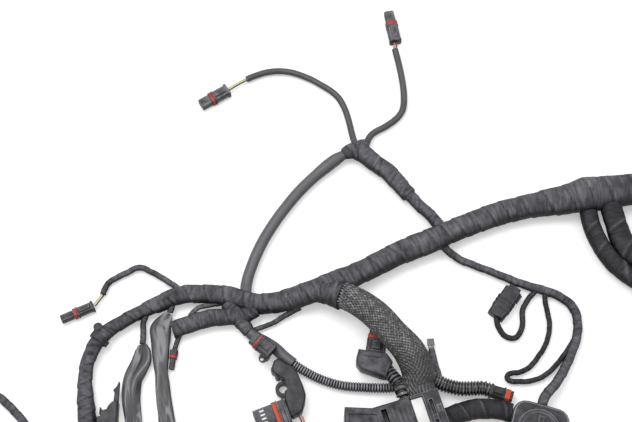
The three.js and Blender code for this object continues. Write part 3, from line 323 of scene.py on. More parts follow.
def soft_tube_skin(seed):
    """Soft vinyl: nearly round, a little flattened and dented here and there."""
    def skin(angle, along, radius):
        return radius * (1 + 0.035 * ripple(angle, along, 0.022, seed))
    return skin


climb_share = 0.94  # of a turn of tape, before it drops at its edge


def tape_climb(turn, seed):
    """0 at the start of a turn of tape, 1 at its far edge, and back down over that edge."""
    def climb(angle, along):
        wander = 0.7 * noise.noise((along / 0.06, seed, 0.5))
        phase = (along / turn + angle / math.tau + wander) % 1.0
        return phase / climb_share if phase < climb_share else (1 - phase) / (1 - climb_share)
    return climb


def taped_skin(turn, step, seed, lump=0.05):
    """Cloth tape wound in a helix: each turn climbs over the last and drops at its edge,
    and small creases run across it where the bundle beneath is uneven."""
    climb = tape_climb(turn, seed)

    def skin(angle, along, radius):
        lumps = lump * ripple(angle, along, 0.03, seed)
        creases = 0.03 * ripple(angle, along, 0.0042, seed + 3)
        return radius * (1 + lumps + creases) + step * (climb(angle, along) - 0.35)
    return skin


def mottled(name, dark, light, scale, detail=3.0, roughness=0.5):
    """A new material whose colour wanders between two tones, and its mottle."""
    made, tree, surface = new_material(name)
    mottle = cloudy(tree, scale, detail, roughness)
    tone = add_node(tree, "ShaderNodeMix", {"data_type": "RGBA", "name": "tone"}, {
        0: mottle, 6: colour(dark), 7: colour(light),
    })
    tree.links.new(tone.outputs[2], surface.inputs["Base Color"])
    return made, tree, surface, mottle


def in_other_tones(made, name, dark, light):
    """A copy of a material between two other tones."""
    copy = made.copy()
    copy.name = name
    tone = copy.node_tree.nodes["tone"]
    tone.inputs[6].default_value = colour(dark)
    tone.inputs[7].default_value = colour(light)
    return copy


# Soft black vinyl (plasticised PVC) tubing, extruded: an even satin with slight smears
vinyl, tree, surface, smears = mottled("soft_black_vinyl", "#49484c", "#68676c", 90.0, 4.0, 0.6)
gloss = add_node(tree, "ShaderNodeMapRange", inputs={
    "Value": smears, "To Min": 0.34, "To Max": 0.5,
})
tree.links.new(gloss.outputs[0], surface.inputs["Roughness"])
dents = add_node(tree, "ShaderNodeBump", inputs={
    "Height": smears, "Strength": 0.35, "Distance": 0.0012,
})
tree.links.new(dents.outputs[0], surface.inputs["Normal"])
surface.inputs["IOR"].default_value = 1.53
paint_shade_on_flanks(vinyl, 0.12, 0.25, 0.9)

# The same vinyl over the two thin leads, newer and blacker
lead_vinyl = in_other_tones(vinyl, "black_lead_vinyl", "#1d1c1f", "#5d5c61")

# Woven cloth harness tape: black polyester threads about 0.5 mm apart, drawn at 1 mm to show,
# a little shiny, wrinkled across by the winding, with pale dust on the far edge of each turn.
# The wrinkles are about 14 mm round the bundle and 3 mm along it
cloth_tape, tree, surface = new_material("woven_harness_tape")
thread_spacing = 1.0
wrinkles_per_mm = (0.07, 0.3, 1.0)
flat_map = add_node(tree, "ShaderNodeUVMap", {"uv_map": "round_and_along"})
axes = add_node(tree, "ShaderNodeSeparateXYZ", inputs={0: flat_map.outputs[0]})
threads = []
for axis in ("X", "Y"):
    scaled = add_node(tree, "ShaderNodeMath", {"operation": "MULTIPLY"}, {
        0: axes.outputs[axis], 1: math.tau / thread_spacing,
    })
    threads.append(add_node(tree, "ShaderNodeMath", {"operation": "SINE"}, {0: scaled.outputs[0]}))
weave = add_node(tree, "ShaderNodeMath", {"operation": "MULTIPLY"}, {
    0: threads[0].outputs[0], 1: threads[1].outputs[0],
})
stretched = add_node(tree, "ShaderNodeVectorMath", {"operation": "MULTIPLY"}, {
    0: flat_map.outputs[0], 1: wrinkles_per_mm,
})
wrinkles = add_node(tree, "ShaderNodeTexNoise", inputs={
    "Vector": stretched.outputs[0], "Scale": 1.0, "Detail": 3.0, "Roughness": 0.6,
    "Distortion": 0.4,
})
mottle = add_node(tree, "ShaderNodeMath", {"operation": "MULTIPLY"}, {
    0: cloudy(tree, 45.0, 6.0, 0.65), 1: wrinkles.outputs["Fac"],
})
spread = add_node(tree, "ShaderNodeMapRange", inputs={
    "Value": mottle.outputs[0], "From Min": 0.12, "From Max": 0.42,
})
tone = add_node(tree, "ShaderNodeMix", {"data_type": "RGBA", "name": "tone"}, {
    0: spread.outputs[0], 6: colour("#302f33"), 7: colour("#7b7a81"),
})
tree.links.new(tone.outputs[2], surface.inputs["Base Color"])
kept = add_node(tree, "ShaderNodeAttribute", {"attribute_name": "height"})
# Painted shade: the foot of the drop at each turn's edge is painted near black
painted_edge_shade = add_node(tree, "ShaderNodeMapRange", inputs={
    "Value": kept.outputs["Fac"], "From Min": 0.0, "From Max": 0.12, "To Min": 0.15, "To Max": 1.0,
})
edge_dust = add_node(tree, "ShaderNodeMapRange", inputs={
    "Value": kept.outputs["Fac"], "From Min": 0.86, "From Max": 1.0, "To Min": 0.0, "To Max": 0.5,
})
dusty = add_node(tree, "ShaderNodeMath", {"operation": "MULTIPLY"}, {
    0: edge_dust.outputs[0], 1: wrinkles.outputs["Fac"],
})
recolour(cloth_tape, {0: dusty.outputs[0], 7: colour("#a3a2a8")}, 6)
recolour(cloth_tape, {0: painted_edge_shade.outputs[0], 6: colour("#0e0e10")}, 7)
cloth_height = add_node(tree, "ShaderNodeMath", {"operation": "MULTIPLY_ADD"}, {
    0: weave.outputs[0], 1: 0.25, 2: cloudy(tree, 420.0, 4.0, 0.7),
})
cloth_bump = add_node(tree, "ShaderNodeBump", inputs={
    "Height": cloth_height.outputs[0], "Strength": 0.6, "Distance": 0.0005,
})
wrinkle_bump = add_node(tree, "ShaderNodeBump", inputs={
    "Height": wrinkles.outputs["Fac"], "Strength": 1.0, "Distance": 0.0018,
    "Normal": cloth_bump.outputs[0],
})
tree.links.new(wrinkle_bump.outputs[0], surface.inputs["Normal"])
surface.inputs["Roughness"].default_value = 0.5
surface.inputs["Specular IOR Level"].default_value = 0.18
paint_shade_on_flanks(cloth_tape, 0.08, 0.25, 0.9)

# The same tape where it was wound last and has met less dust: blacker
clean_tape = in_other_tones(cloth_tape, "clean_harness_tape", "#232226", "#4a494e")

upper_tube_route = mm([
    (-143, 136, 11, 5.6), (-143, 144, 9.4, 5.6), (-142.6, 152, 8, 5.6), (-141.2, 160, 7.4, 5.6),
    (-138.9, 168, 7.2, 5.6), (-135.6, 178, 7.2, 5.6), (-131.6, 188.1, 7.2, 5.6),
    (-126.6, 199, 7.2, 5.6), (-120.8, 209.6, 7.2, 5.6), (-113.9, 221, 7.2, 5.6),
    (-106.3, 232.2, 7.2, 5.6), (-91.7, 251.3, 7.2, 5.6), (-75.7, 267.8, 7.3, 5.8),
    (-64, 278.4, 7.8, 6.6), (-55, 285.4, 8.6, 6.4), (-47, 290.6, 9.2, 4.8), (-40, 294.4, 9.6, 4.2),
])
left_sleeve_route = mm([
    (-33, 296, 9), (-35, 302, 7.4), (-36.5, 308, 6), (-38.4, 316, 5), (-40, 324, 4.6),
    (-41.8, 332.2, 4.5), (-44.2, 341, 4.5), (-47.3, 349, 4.5), (-51, 356, 4.5),
    (-55.6, 361.6, 4.5), (-62, 367, 4.5), (-68.4, 371.2, 4.5), (-80, 378.4, 4.5),
    (-92.3, 384, 4.5), (-100, 386.6, 4.5), (-109, 388, 4.5), (-118, 388, 4.5),
    (-127.8, 386.4, 4.5), (-138, 382.8, 4.6), (-147, 378.4, 5),
])
right_sleeve_route = mm([
    (-27, 292, 9), (-25.6, 298, 7.6), (-23.6, 304, 6.5), (-21.6, 309.6, 5.6), (-18.6, 314.6, 5),
    (-13.2, 319, 4.6), (-6.8, 322.6, 4.5), (-0.6, 326.6, 4.5), (5.6, 331.4, 4.5),
    (10.4, 336.6, 4.5), (13.8, 342.6, 4.5), (15.4, 349.6, 4.5), (15.8, 357, 4.5), (15.6, 367, 4.5),
    (14.4, 378, 4.5), (12.8, 389, 4.5), (11, 399, 4.5), (9.4, 406.4, 4.6), (7.8, 413.6, 5),
])
arch_route = mm([
    (-203, 142, 10), (-206.5, 146, 8.6), (-210, 149.8, 7), (-214.4, 153.6, 5.6),
    (-219, 156.8, 4.6), (-224, 160.2, 4.4), (-229, 163.2, 4.4), (-234, 166, 4.4),
    (-239.2, 168.6, 4.4), (-243.6, 170.8, 4.4), (-248, 171.6, 4.4), (-253.4, 169.8, 4.4),
    (-259, 166.6, 4.4), (-264.4, 163.8, 4.4), (-269.6, 161, 4.4), (-274.4, 158, 4.4),
    (-278.4, 153.8, 4.4), (-280.6, 148.8, 4.6), (-281.7, 143.8, 5),
])

# The round plug stands turned on the table, and places on it are worked out in its own frame.
# What enters a plug stops short of it by the fit
fit = 0.0003
round_turn = Matrix.Rotation(math.radians(-16), 3, "Z")
round_place = Vector((0.1295, 0.0066, 0))
round_half_width = 0.0265
round_half_depth = 0.025


def on_round(x, y, z, *radius):
    """A place on the round plug, with the radius there."""
    return (*(round_turn @ Vector((x, y, z)) + round_place), *radius)


loop_route = mm([
    (47.6, 193.6, 10.8, 3.8), (53.5, 188.1, 9, 3.8), (58.4, 184.4, 7.5, 3.8),
    (64.2, 180.4, 6, 3.8), (72, 176.6, 5.6, 3.7), (80.6, 173, 5.6, 3.7), (92.6, 168, 5.6, 3.7),
    (104.6, 163, 5.6, 3.7), (115, 158.4, 5.6, 3.9), (125.5, 154.1, 5.6, 4.1),
    (136.4, 150.4, 5.6, 4.4), (147, 147.2, 5.6, 4.5), (156.4, 143.6, 5.6, 4.4),
    (164.5, 139, 5.6, 4.3), (171, 133.4, 5.6, 4.4), (175, 126.3, 5.6, 4.4),
    (176.6, 117.4, 5.6, 4.3), (176.2, 108, 5.6, 4.3), (174.4, 99, 5.8, 4.3), (171, 90.5, 6, 4.3),
    (166.4, 80, 6.6, 4.3), (160.8, 69.5, 7.5, 4.4), (155.4, 60.4, 9.2, 4.5), (149.2, 52, 11, 4.6),
])
loop_route += [
    on_round(-0.0005, round_half_depth + 0.009, 0.013, 0.0046),
    on_round(-0.0005, round_half_depth + fit, 0.013, 0.0046),
]
loop_plug_route = mm([
    (98.9, 122, 5.6), (99, 117.4, 5.4), (99.8, 112.6, 4.6), (102, 107.4, 4.2), (105.7, 102.6, 4),
    (109.8, 100.2, 4), (114, 99.8, 4), (118, 101.4, 4), (120.9, 105.2, 4), (123, 110.4, 4),
    (124.2, 116.1, 4), (124, 121.8, 4), (124.6, 127.4, 4), (127, 133, 4.1), (130.4, 138.4, 4.2),
    (134.6, 143.4, 4.6), (139.6, 148.4, 5.4),
])
return_route = mm([
    (147, 147, 5.4), (147, 139, 4.6), (147.8, 131, 4), (149.2, 122, 4), (149.8, 113, 4),
    (148.4, 104, 4), (145.4, 95.1, 4), (141.4, 87.8, 4), (136.6, 81.3, 4), (132.6, 76, 4),
    (128, 71.4, 4), (122.6, 68, 4), (116.8, 66, 4), (111, 65.4, 4), (107, 63.8, 4),
    (105.8, 61.2, 4), (107.4, 58.6, 4), (111.4, 57.4, 4), (117.2, 57.2, 4), (125, 57.4, 4),
    (132.8, 59, 4), (139.8, 62, 4), (146.2, 66.4, 4), (151.6, 71.4, 4), (156.6, 77, 4),
    (161.8, 83.4, 4.4), (166.9, 90.2, 5), (171.6, 97.6, 5.6),
])
tail_route = mm([
    (-301.4, -22, 8), (-306.4, -22, 6.4), (-312, -20.6, 5), (-317.4, -17, 4.6), (-322.4, -12, 4.4),
    (-327.8, -6, 4.4), (-333.4, 0.4, 4.4), (-339.2, 7.6, 4.4), (-345.2, 15, 4.4),
    (-351.6, 22.2, 4.4), (-358.2, 29, 4.4), (-365, 35.4, 4.4), (-371.8, 41, 4.6), (-378, 44.8, 5),
    (-384, 48, 5.4),
])


def lead(name, route, diameter, skin, material):
    """A free round lead: its tube, which takes the place of the solid that it stands for.
    A skin given as the turn, step and seed of its tape is wound with that tape."""
    line = [(place, radius or diameter / 2) for place, radius in follow(route)]
    sides = 20
    if isinstance(skin, tuple):
        tube = wrap(name + "_tape", line, taped_skin(*skin), material, sides)
        keep_height(tube, line, tape_climb(skin[0], skin[2]))
    else:
        tube = wrap(name + "_skin", line, skin, material, sides)
    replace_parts(tube, name)
    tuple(line[0][0])
    line_length(line)
    return tube


# The small sealed sensor plugs at the far ends of the leads. Each is a housing moulded in
# glass-filled nylon with a spring latch, a red silicone seal pushed over its neck, and
# thin insulated wires that leave its rear through their own seals.


def moulded_nylon(name, dark, light, roughness):
    """Glass-filled nylon (polyamide) from a spark-eroded mould: satin, with a fine even grain,
    clouded by handling, and with a painted highlight in places along its rounded edges."""
    made, tree, surface = new_material(name)
    flow = cloudy(tree, 110.0, 5.0, 0.65)
    scuffs = add_node(tree, "ShaderNodeMapRange", inputs={
        "Value": flow, "From Min": 0.33, "From Max": 0.67,
    })
    tone = add_node(tree, "ShaderNodeMix", {"data_type": "RGBA"}, {
        0: scuffs.outputs[0], 6: colour(dark), 7: colour(light),
    })
    tree.links.new(tone.outputs[2], surface.inputs["Base Color"])
    # Painted highlight: the faces of the rounded edges are painted pale in places
    edge_highlight_faces = add_node(tree, "ShaderNodeAttribute", {"attribute_name": "painted_edge_highlight"})
    edges = add_node(tree, "ShaderNodeMath", {"operation": "MULTIPLY"}, {
        0: edge_highlight_faces.outputs["Fac"], 1: flow,
    })
    recolour(made, {0: edges.outputs[0], 7: colour("#b4b3b8")}, 6)
    bump = add_node(tree, "ShaderNodeBump", inputs={
        "Height": cloudy(tree, 1600.0, 2.0), "Strength": 0.25, "Distance": 0.0002,
    })
    tree.links.new(bump.outputs[0], surface.inputs["Normal"])
    surface.inputs["Roughness"].default_value = roughness
    surface.inputs["Specular IOR Level"].default_value = 0.22
    paint_shade_on_flanks(made, 0.08, 0.15, 0.95)
    return made


black_nylon = moulded_nylon("black_glass_filled_nylon", "#29282c", "#4f4e53", 0.42)
grey_nylon = moulded_nylon("dark_grey_nylon", "#333236", "#7d7c81", 0.36)


def silicone(name, dark, light):
    """Silicone rubber seal, moulded: soft and dull, stained darker here and there."""
    made, _, surface, _ = mottled(name, dark, light, 240.0)
    surface.inputs["Roughness"].default_value = 0.5
    surface.inputs["IOR"].default_value = 1.42
    paint_shade_on_flanks(made, 0.35)
    return made


red_silicone = silicone("red_silicone_rubber", "#7c2420", "#c25045")
orange_silicone = silicone("orange_red_silicone_rubber", "#a32c1c", "#e0583e")


def wire_jacket(name, hex_code):
    """Thin-wall vinyl wire insulation, extruded: smooth and slightly glossy."""
    made, tree, surface = new_material(name)
    gloss = add_node(tree, "ShaderNodeMapRange", inputs={
        "Value": cloudy(tree, 300.0, 2.0), "To Min": 0.25, "To Max": 0.45,
    })
    tree.links.new(gloss.outputs[0], surface.inputs["Roughness"])
    surface.inputs["Base Color"].default_value = colour(hex_code)
    surface.inputs["IOR"].default_value = 1.53
    return made


yellow_jacket = wire_jacket("yellow_wire_vinyl", "#ded689")
dark_jacket = wire_jacket("dark_wire_vinyl", "#3a2f2c")
brown_jacket = wire_jacket("brown_wire_vinyl", "#6e4334")
pink_jacket = wire_jacket("pink_wire_vinyl", "#c98378")


same_point = 5e-6
flat_angle = math.radians(2)
edge_angle = math.radians(28)


def moulding(node, edge):
    """A merged copy of a solid as a bmesh, its true edges rounded as a mould leaves them."""
    bm = bmesh.new()
    bm.from_mesh(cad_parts[node].data)
    bmesh.ops.remove_doubles(bm, verts=bm.verts, dist=same_point)
    bmesh.ops.dissolve_limit(bm, angle_limit=flat_angle, verts=bm.verts, edges=bm.edges)
    sharp = [e for e in bm.edges if e.is_manifold and e.calc_face_angle() > edge_angle]
    rounded = bmesh.ops.bevel(
        bm, geom=sharp, offset=edge, offset_type="OFFSET", segments=2, profile=0.5,
        affect="EDGES", clamp_overlap=True, material=-1,
    )
    bm.faces.index_update()
    # The faces of the rounded edges are marked, for a painted highlight along them
    edge_faces = {face.index for face in rounded["faces"] if face.is_valid}
    painted_edge_highlight = bm.faces.layers.float.new("painted_edge_highlight")
    for face in bm.faces:
        face[painted_edge_highlight] = float(face.index in edge_faces)
    return bm


plain_edge = 0.0004
seal_edge = 0.0005
soft_edge = 0.0006
round_edge = 0.0008


def moulded_piece(node, material, edge=plain_edge):
    """A moulding in place of its solid."""
    piece = finish_mesh(moulding(node, edge), node + "_moulding", material)
    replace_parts(piece, node)
    return piece


wire_spacing = 0.0023
wire_radius = 0.0008


def side_by_side(route):
    """Two routes on either side of one."""
    line = [Vector(p) for p in route]
    pair = [[], []]
    for i, place in enumerate(line):
        ahead = line[min(i + 1, len(line) - 1)] - line[max(i - 1, 0)]
        side = ahead.cross(Vector((0, 0, 1))).normalized() * wire_spacing / 2
        pair[0].append(place + side)
        pair[1].append(place - side)
    return pair


def wires(node, route, jackets):
    """Two thin wires in place of the solid strip that stands for them."""
    made = []
    for i, (path, jacket) in enumerate(zip(side_by_side(route), jackets)):
        line = [(place, wire_radius) for place, _ in follow(path, 0.001)]
        wire = wrap(f"{node}_{i + 1}", line, lambda angle, along, radius: radius, jacket, 12)
        made.append(wire)
    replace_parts(made[0], node)
    return made


left_wire_route = mm([(-147.4, 378.2, 5), (-156, 373, 5.4), (-165.7, 365.9, 6)])
right_wire_route = mm([(7.7, 414, 5), (8.3, 418, 5.2), (8.6, 421.4, 5.5)])
arch_wire_route = mm([(-281.9, 143.3, 5), (-285.9, 137.6, 5.2), (-289.3, 132.3, 5.4)])

yellow_pair = [yellow_jacket, dark_jacket]
brown_pair = [brown_jacket, pink_jacket]


def sensor_end(end, route, jackets, plastic):
    """What a lead carries at its end: two wires, a plug and its seal."""
    return [
        *wires(end + "_wires", route, jackets),
        moulded_piece(end + "_plug", plastic),
        moulded_piece(end + "_seal", red_silicone, seal_edge),
    ]


upper_left_end = sensor_end("upper_left", left_wire_route, yellow_pair, grey_nylon)
upper_right_end = sensor_end("upper_right", right_wire_route, brown_pair, grey_nylon)
arch_end = sensor_end("arch", arch_wire_route, yellow_pair, black_nylon)
loop_plug_piece = moulded_piece("loop_plug", black_nylon, soft_edge)
tail_plug_piece = moulded_piece("tail_plug", black_nylon)

lead("upper_pvc_tube", upper_tube_route, 0.0112, soft_tube_skin(3), vinyl)
lead("upper_left_sleeve", left_sleeve_route, 0.0066, soft_tube_skin(5), lead_vinyl)
lead("upper_right_sleeve", right_sleeve_route, 0.0068, soft_tube_skin(9), lead_vinyl)
lead("arch_lead", arch_route, 0.0058, (0.013, 0.0004, 11), cloth_tape)
lead("loop_lead", loop_route, 0.0086, (0.016, 0.0005, 13), cloth_tape)
lead("loop_plug_lead", loop_plug_route, 0.0054, (0.012, 0.0003, 15), clean_tape)
lead("return_loop", return_route, 0.0050, (0.012, 0.0003, 17), clean_tape)
lead("far_tail", tail_route, 0.0076, (0.014, 0.0004, 19), cloth_tape)

# The two flattened glossy sleeves at the lower left: thin black vinyl film tube, drawn over
# the taped break-outs, that has collapsed and creased along its length.
# Its gloss and tone wander in broad patches, about 15 mm across and 55 mm along; the pale ones are
# painted light
film, tree, surface = new_material("glossy_vinyl_film")
lights_per_mm = (0.065, 0.018, 1.0)
flat_map = add_node(tree, "ShaderNodeUVMap", {"uv_map": "round_and_along"})
pulled = add_node(tree, "ShaderNodeVectorMath", {"operation": "MULTIPLY"}, {
    0: flat_map.outputs[0], 1: lights_per_mm,
})
painted_light_and_buckles = add_node(tree, "ShaderNodeTexNoise", inputs={
    "Vector": pulled.outputs[0], "Scale": 1.0, "Detail": 0.5, "Roughness": 0.4,
})
# Painted light: broad pale patches in the colour, from the same field as the buckles
tone = add_node(tree, "ShaderNodeMix", {"data_type": "RGBA"}, {
    0: painted_light_and_buckles.outputs["Fac"], 6: colour("#0d0d0f"), 7: colour("#68676c"),
})
tree.links.new(tone.outputs[2], surface.inputs["Base Color"])
gloss = add_node(tree, "ShaderNodeMapRange", inputs={
    "Value": painted_light_and_buckles.outputs["Fac"], "To Min": 0.16, "To Max": 0.38,
})
tree.links.new(gloss.outputs[0], surface.inputs["Roughness"])
buckles = add_node(tree, "ShaderNodeBump", inputs={
    "Height": painted_light_and_buckles.outputs["Fac"], "Strength": 1.0, "Distance": 0.013,
})
tree.links.new(buckles.outputs[0], surface.inputs["Normal"])
surface.inputs["IOR"].default_value = 1.54
paint_shade_on_flanks(film, 0.25, 0.3, 0.95)
film_flatness = 0.45
valley_reach = 0.8
crease_depth = 0.07


def creased_skin(seed):
    """A collapsed tube: one wide valley wanders down it between two flat faces, and a few
    soft creases cross it aslant."""
    def skin(angle, along, radius):
        middle = math.pi * 0.5 + 0.6 * noise.noise((along / 0.07, seed, 0.4))
        depth = 0.24 + 0.3 * noise.noise((along / 0.045, seed + 9, 0.7))
        fold = depth * max(0.0, 1 - abs(angle - middle) / valley_reach)
        slant = noise.noise((along / 0.045 + 0.9 * math.cos(angle), seed + 4, 0.3))
        fold += crease_depth * max(0.0, 1 - abs(slant) * 4)
        return radius * (1 - fold)
    return skin


right_film_route = mm([
    (-216.4, 123.4, 7.3, 3.8), (-219.6, 117.6, 6.8, 7.4), (-224.2, 108.4, 6, 11),
    (-223.6, 96.5, 5.4, 10), (-223, 83.5, 5.2, 8.3), (-221.7, 66, 5.2, 6.4),
    (-219.2, 48.8, 5.2, 7.2), (-216.9, 34, 5.2, 7.6), (-214.2, 18.3, 5.2, 8.3),
    (-212.5, 5, 5.2, 8.8), (-212.5, -4, 5.2, 9),
])
left_film_route = mm([
    (-240.6, 92.8, 6, 4.4), (-240, 87, 5.8, 7.8), (-240.6, 78.5, 5.4, 9.8),
    (-244.4, 68.7, 5.2, 9.7), (-248.2, 58.7, 5.2, 9.2), (-249.2, 46.3, 5.2, 9.2),
    (-248.2, 34, 5.2, 9), (-245.6, 18.3, 5.2, 8.4), (-245, 5, 5.2, 8.8), (-245, -4, 5.2, 9),
])
for film_name, film_route, film_seed in (
    ("right_gloss_sleeve", right_film_route, 2), ("left_gloss_sleeve", left_film_route, 6),
):
    line = follow(film_route)
    skin = creased_skin(film_seed)
    sleeve = wrap(film_name + "_film", line, skin, film, 64, (1.0, film_flatness))
    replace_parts(sleeve, film_name)

# The trunk: all the wires of the harness in one bundle, wound with cloth tape by hand,
# and the thin break-outs whose tape starts on the trunk itself
trunk_route = mm([
    (264, 249, 16.3, 15.4), (239, 249, 16.3, 15.4), (206, 245, 17.6, 16.8),
    (190, 242.5, 18.4, 17.6), (177, 239.5, 16.4, 15.2), (142, 233.5, 14, 12.3),
    (107, 225.5, 12.5, 11.6), (67, 210, 12.5, 11.2), (37, 196, 13, 12.3), (7, 183, 14, 11.6),
    (-26, 165, 16, 10.8), (-57, 151, 17, 12), (-86, 140.5, 14, 11), (-110, 133.5, 12, 10.2),
    (-134, 132.5, 11, 10.2), (-158, 139.5, 10.8, 9.8), (-182, 142.5, 10, 9),
    (-206, 141.5, 9.8, 8.6), (-225, 133, 9.8, 8.4), (-243.5, 124.5, 9.4, 6.4),
    (-262, 113.5, 10, 6.4), (-273, 105.5, 10.4, 6.8), (-281.2, 97, 10.6, 7), (-287, 87, 10.3, 6.9),
    (-291.8, 73, 9, 6.5), (-292.8, 56, 8.2, 6.7), (-290.8, 37, 8.8, 7.8), (-288, 17, 9.2, 8.5),
    (-288, -4, 9.2, 8.5),
])
braid_root_route = mm([
    (-84, 144, 15, 9), (-66, 142, 19, 11.5), (-50, 136, 24, 13),
])
left_breakout_route = mm([
    (-232, 130, 9, 4), (-238.5, 121.8, 8, 3), (-241, 112.4, 6.4, 2.8), (-240.4, 102.4, 6, 2.8),
    (-240.8, 93.6, 6, 2.8),
])
right_breakout_route = mm([
    (-213.5, 138, 9, 4), (-214.4, 130.5, 8, 3.2), (-215.5, 124.5, 7.4, 3),
])
back_lead_route = mm([
    (-90.4, 130, 8, 3.2), (-103.9, 122.4, 6, 2.6), (-117.4, 114.4, 4.4, 2.4),
    (-127.5, 110.6, 4.4, 2.4), (-133.6, 107.6, 5.6, 2.4),
])
tape_mesh_step = 0.0011
thin_lead_sides = 24


def taped(name, route, turn, step, seed, around=56, squash=(1.0, 1.0), lump=0.05, tape=cloth_tape,
          node=None):
    """A wound bundle, and the solid that it stands for. The width of a turn and the step at its
    edge are in metres."""
    line = follow(route, tape_mesh_step)
    piece = wrap(name, line, taped_skin(turn, step, seed, lump), tape, around, squash)
    keep_height(piece, line, tape_climb(turn, seed))
    if node:
        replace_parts(piece, node)


taped("main_trunk_tape", trunk_route, 0.019, 0.0007, 21, 64, lump=0.07, node="main_trunk")
taped("braid_root_tape", braid_root_route, 0.02, 0.0006, 23, 48, (1.05, 0.9))
taped("left_breakout_tape", left_breakout_route, 0.012, 0.0004, 25, thin_lead_sides)
taped("right_breakout_tape", right_breakout_route, 0.012, 0.0004, 27, thin_lead_sides)
taped("back_lead_tape", back_lead_route, 0.012, 0.0004, 29, thin_lead_sides)

# The taped branches: smaller bundles that leave the trunk, wound in the same tape
y_route = mm([
    (-47, 290.6, 9.2, 5.4), (-42.6, 293, 9.6, 7), (-38, 294.6, 9.8, 8.2), (-30, 293, 10.1, 9.3),
    (-19.6, 284, 9.8, 9), (-3.4, 271.5, 9.7, 8.7), (12, 253, 9.4, 7.9), (17.6, 246.6, 9.2, 7.9),
    (18.8, 245.2, 9.2, 6), (29, 234, 9, 5.6), (41, 221.3, 10, 5.8), (49, 208, 11.5, 6),
])
crotch_route = mm([
    (-28, 291, 9.8, 8), (-27.4, 304.5, 8.8, 6.2),
])
inner_left_route = mm([
    (-132.7, 127, 11, 7.5), (-145.1, 120.6, 9.5, 8.1), (-160.5, 119.6, 9.2, 8.3),
    (-177.8, 117.8, 9.2, 8.5), (-193, 113.2, 9.2, 8.5), (-206, 108.6, 9.2, 8.2),
    (-212.6, 106.3, 9.2, 8),
])
cross_lead_route = mm([
    (-166, 134, 9, 3), (-178, 131.5, 8.4, 2.3), (-188, 129, 8.2, 2.3), (-194, 123.5, 9, 2.3),
    (-196.5, 117, 11, 2.6),
])
hanging_lead_route = mm([
    (-204, 106, 7, 3), (-207.8, 96.9, 4.6, 2.4), (-210, 88.3, 4.2, 2.4),
])
short_route = mm([
    (-159.9, 133.4, 9.6, 8), (-151, 121.5, 9, 8), (-145.1, 112.8, 8, 7), (-138.8, 105, 7, 6),
])
lower_right_route = mm([
    (192.6, 239.7, 15, 9), (196, 216, 12, 8.8), (201, 200, 10.4, 9), (207, 187.6, 10.2, 9.2),
    (214, 176, 10.2, 9.2), (221, 168.6, 10.2, 9.2), (230, 160.8, 10.2, 9.2),
    (240, 154.4, 10.2, 9.2), (249, 151.2, 10.2, 9.2), (256, 150.2, 10.2, 9.2),
    (264, 150.2, 10.2, 9.2),
])
upper_right_route = mm([
    (214.5, 243, 18, 9.4), (217, 227, 16, 9.2), (220.5, 212.5, 14, 9), (225, 197, 12, 9.6),
    (232.5, 184.5, 11, 9.6), (241, 176, 11, 9.6), (250, 172.6, 11, 9.6), (264, 172.4, 11, 9.6),
])

taped("y_branch_tape", y_route, 0.021, 0.0007, 31, lump=0.09, node="y_branch")
taped("crotch_tape", crotch_route, 0.02, 0.0006, 32, 40)
taped("inner_left_tape", inner_left_route, 0.018, 0.0005, 33, node="inner_left_branch")
taped("cross_lead_tape", cross_lead_route, 0.012, 0.0003, 36, thin_lead_sides)
taped("hanging_lead_tape", hanging_lead_route, 0.012, 0.0003, 35, thin_lead_sides)
taped("short_branch_tape", short_route, 0.014, 0.0008, 37, node="short_branch")
taped("lower_right_tape", lower_right_route, 0.034, 0.0003, 39, lump=0.03, tape=clean_tape,
      node="lower_right_branch")
taped("upper_right_tape", upper_right_route, 0.034, 0.0003, 41, squash=(1.2, 0.95), lump=0.03,
      tape=clean_tape, node="upper_right_branch")

# The control unit plug stands turned too, about the origin
control_turn = Matrix.Rotation(math.radians(17), 3, "Z")
control_back = 0.029
control_right = 0.0465


def on_control(x, y, z, *radius):
    """A place on the control unit plug, with the radius there."""
    return (*(control_turn @ Vector((x, y, z))), *radius)


side_route = [
    on_control(control_right + fit, 0.006, 0.012, 0.0092),
    on_control(0.0535, 0.006, 0.012, 0.0092),
    (0.064, 0.027, 0.011, 0.0094), (0.080, 0.0295, 0.011, 0.0094),
    on_round(-round_half_width - 0.008, 0.012, 0.011, 0.0089),
    on_round(-round_half_width - fit, 0.012, 0.011, 0.0089),
]
taped("side_branch_tape", side_route, 0.017, 0.0005, 43, tape=clean_tape, node="side_branch")
terminal_lead_route = mm([
    (42.6, 57, 4, 3.25), (39.6, 68.4, 4, 3.25), (37, 79, 4, 3.25), (35.4, 88.1, 4, 3.25),
])
taped("terminal_lead_tape", terminal_lead_route, 0.012, 0.0003, 45, thin_lead_sides,
      node="terminal_lead")

# The braided sleeve: expanding tube plaited from flat polyester strands, drawn over the widest
# branch and pushed oval between the trunk and the control unit plug
braid_route = mm([
    (-52, 138, 23, 12.4), (-35, 128.4, 28, 13.2), (-18.3, 115, 30, 13.9), (-2.7, 97.2, 30, 14),
    (12.6, 79.4, 28, 15.2), (20, 61.8, 26, 15.3),
])
braid_end = 0.0334
braid_route += [
    on_control(braid_end, control_back + 0.012, 0.024, 0.0148),
    on_control(braid_end, control_back + fit, 0.024, 0.0144),
]
strand_count = 26  # each way round
strand_lay = 0.0034  # metres along the sleeve, from one strand to the next
strand_lift = 0.0012
fan_out = 0.016  # metres from an end to where the strands cross each other
braid_mesh_step = 0.0007
braid_line = follow(braid_route, braid_mesh_step)
braid_length = line_length(braid_line)
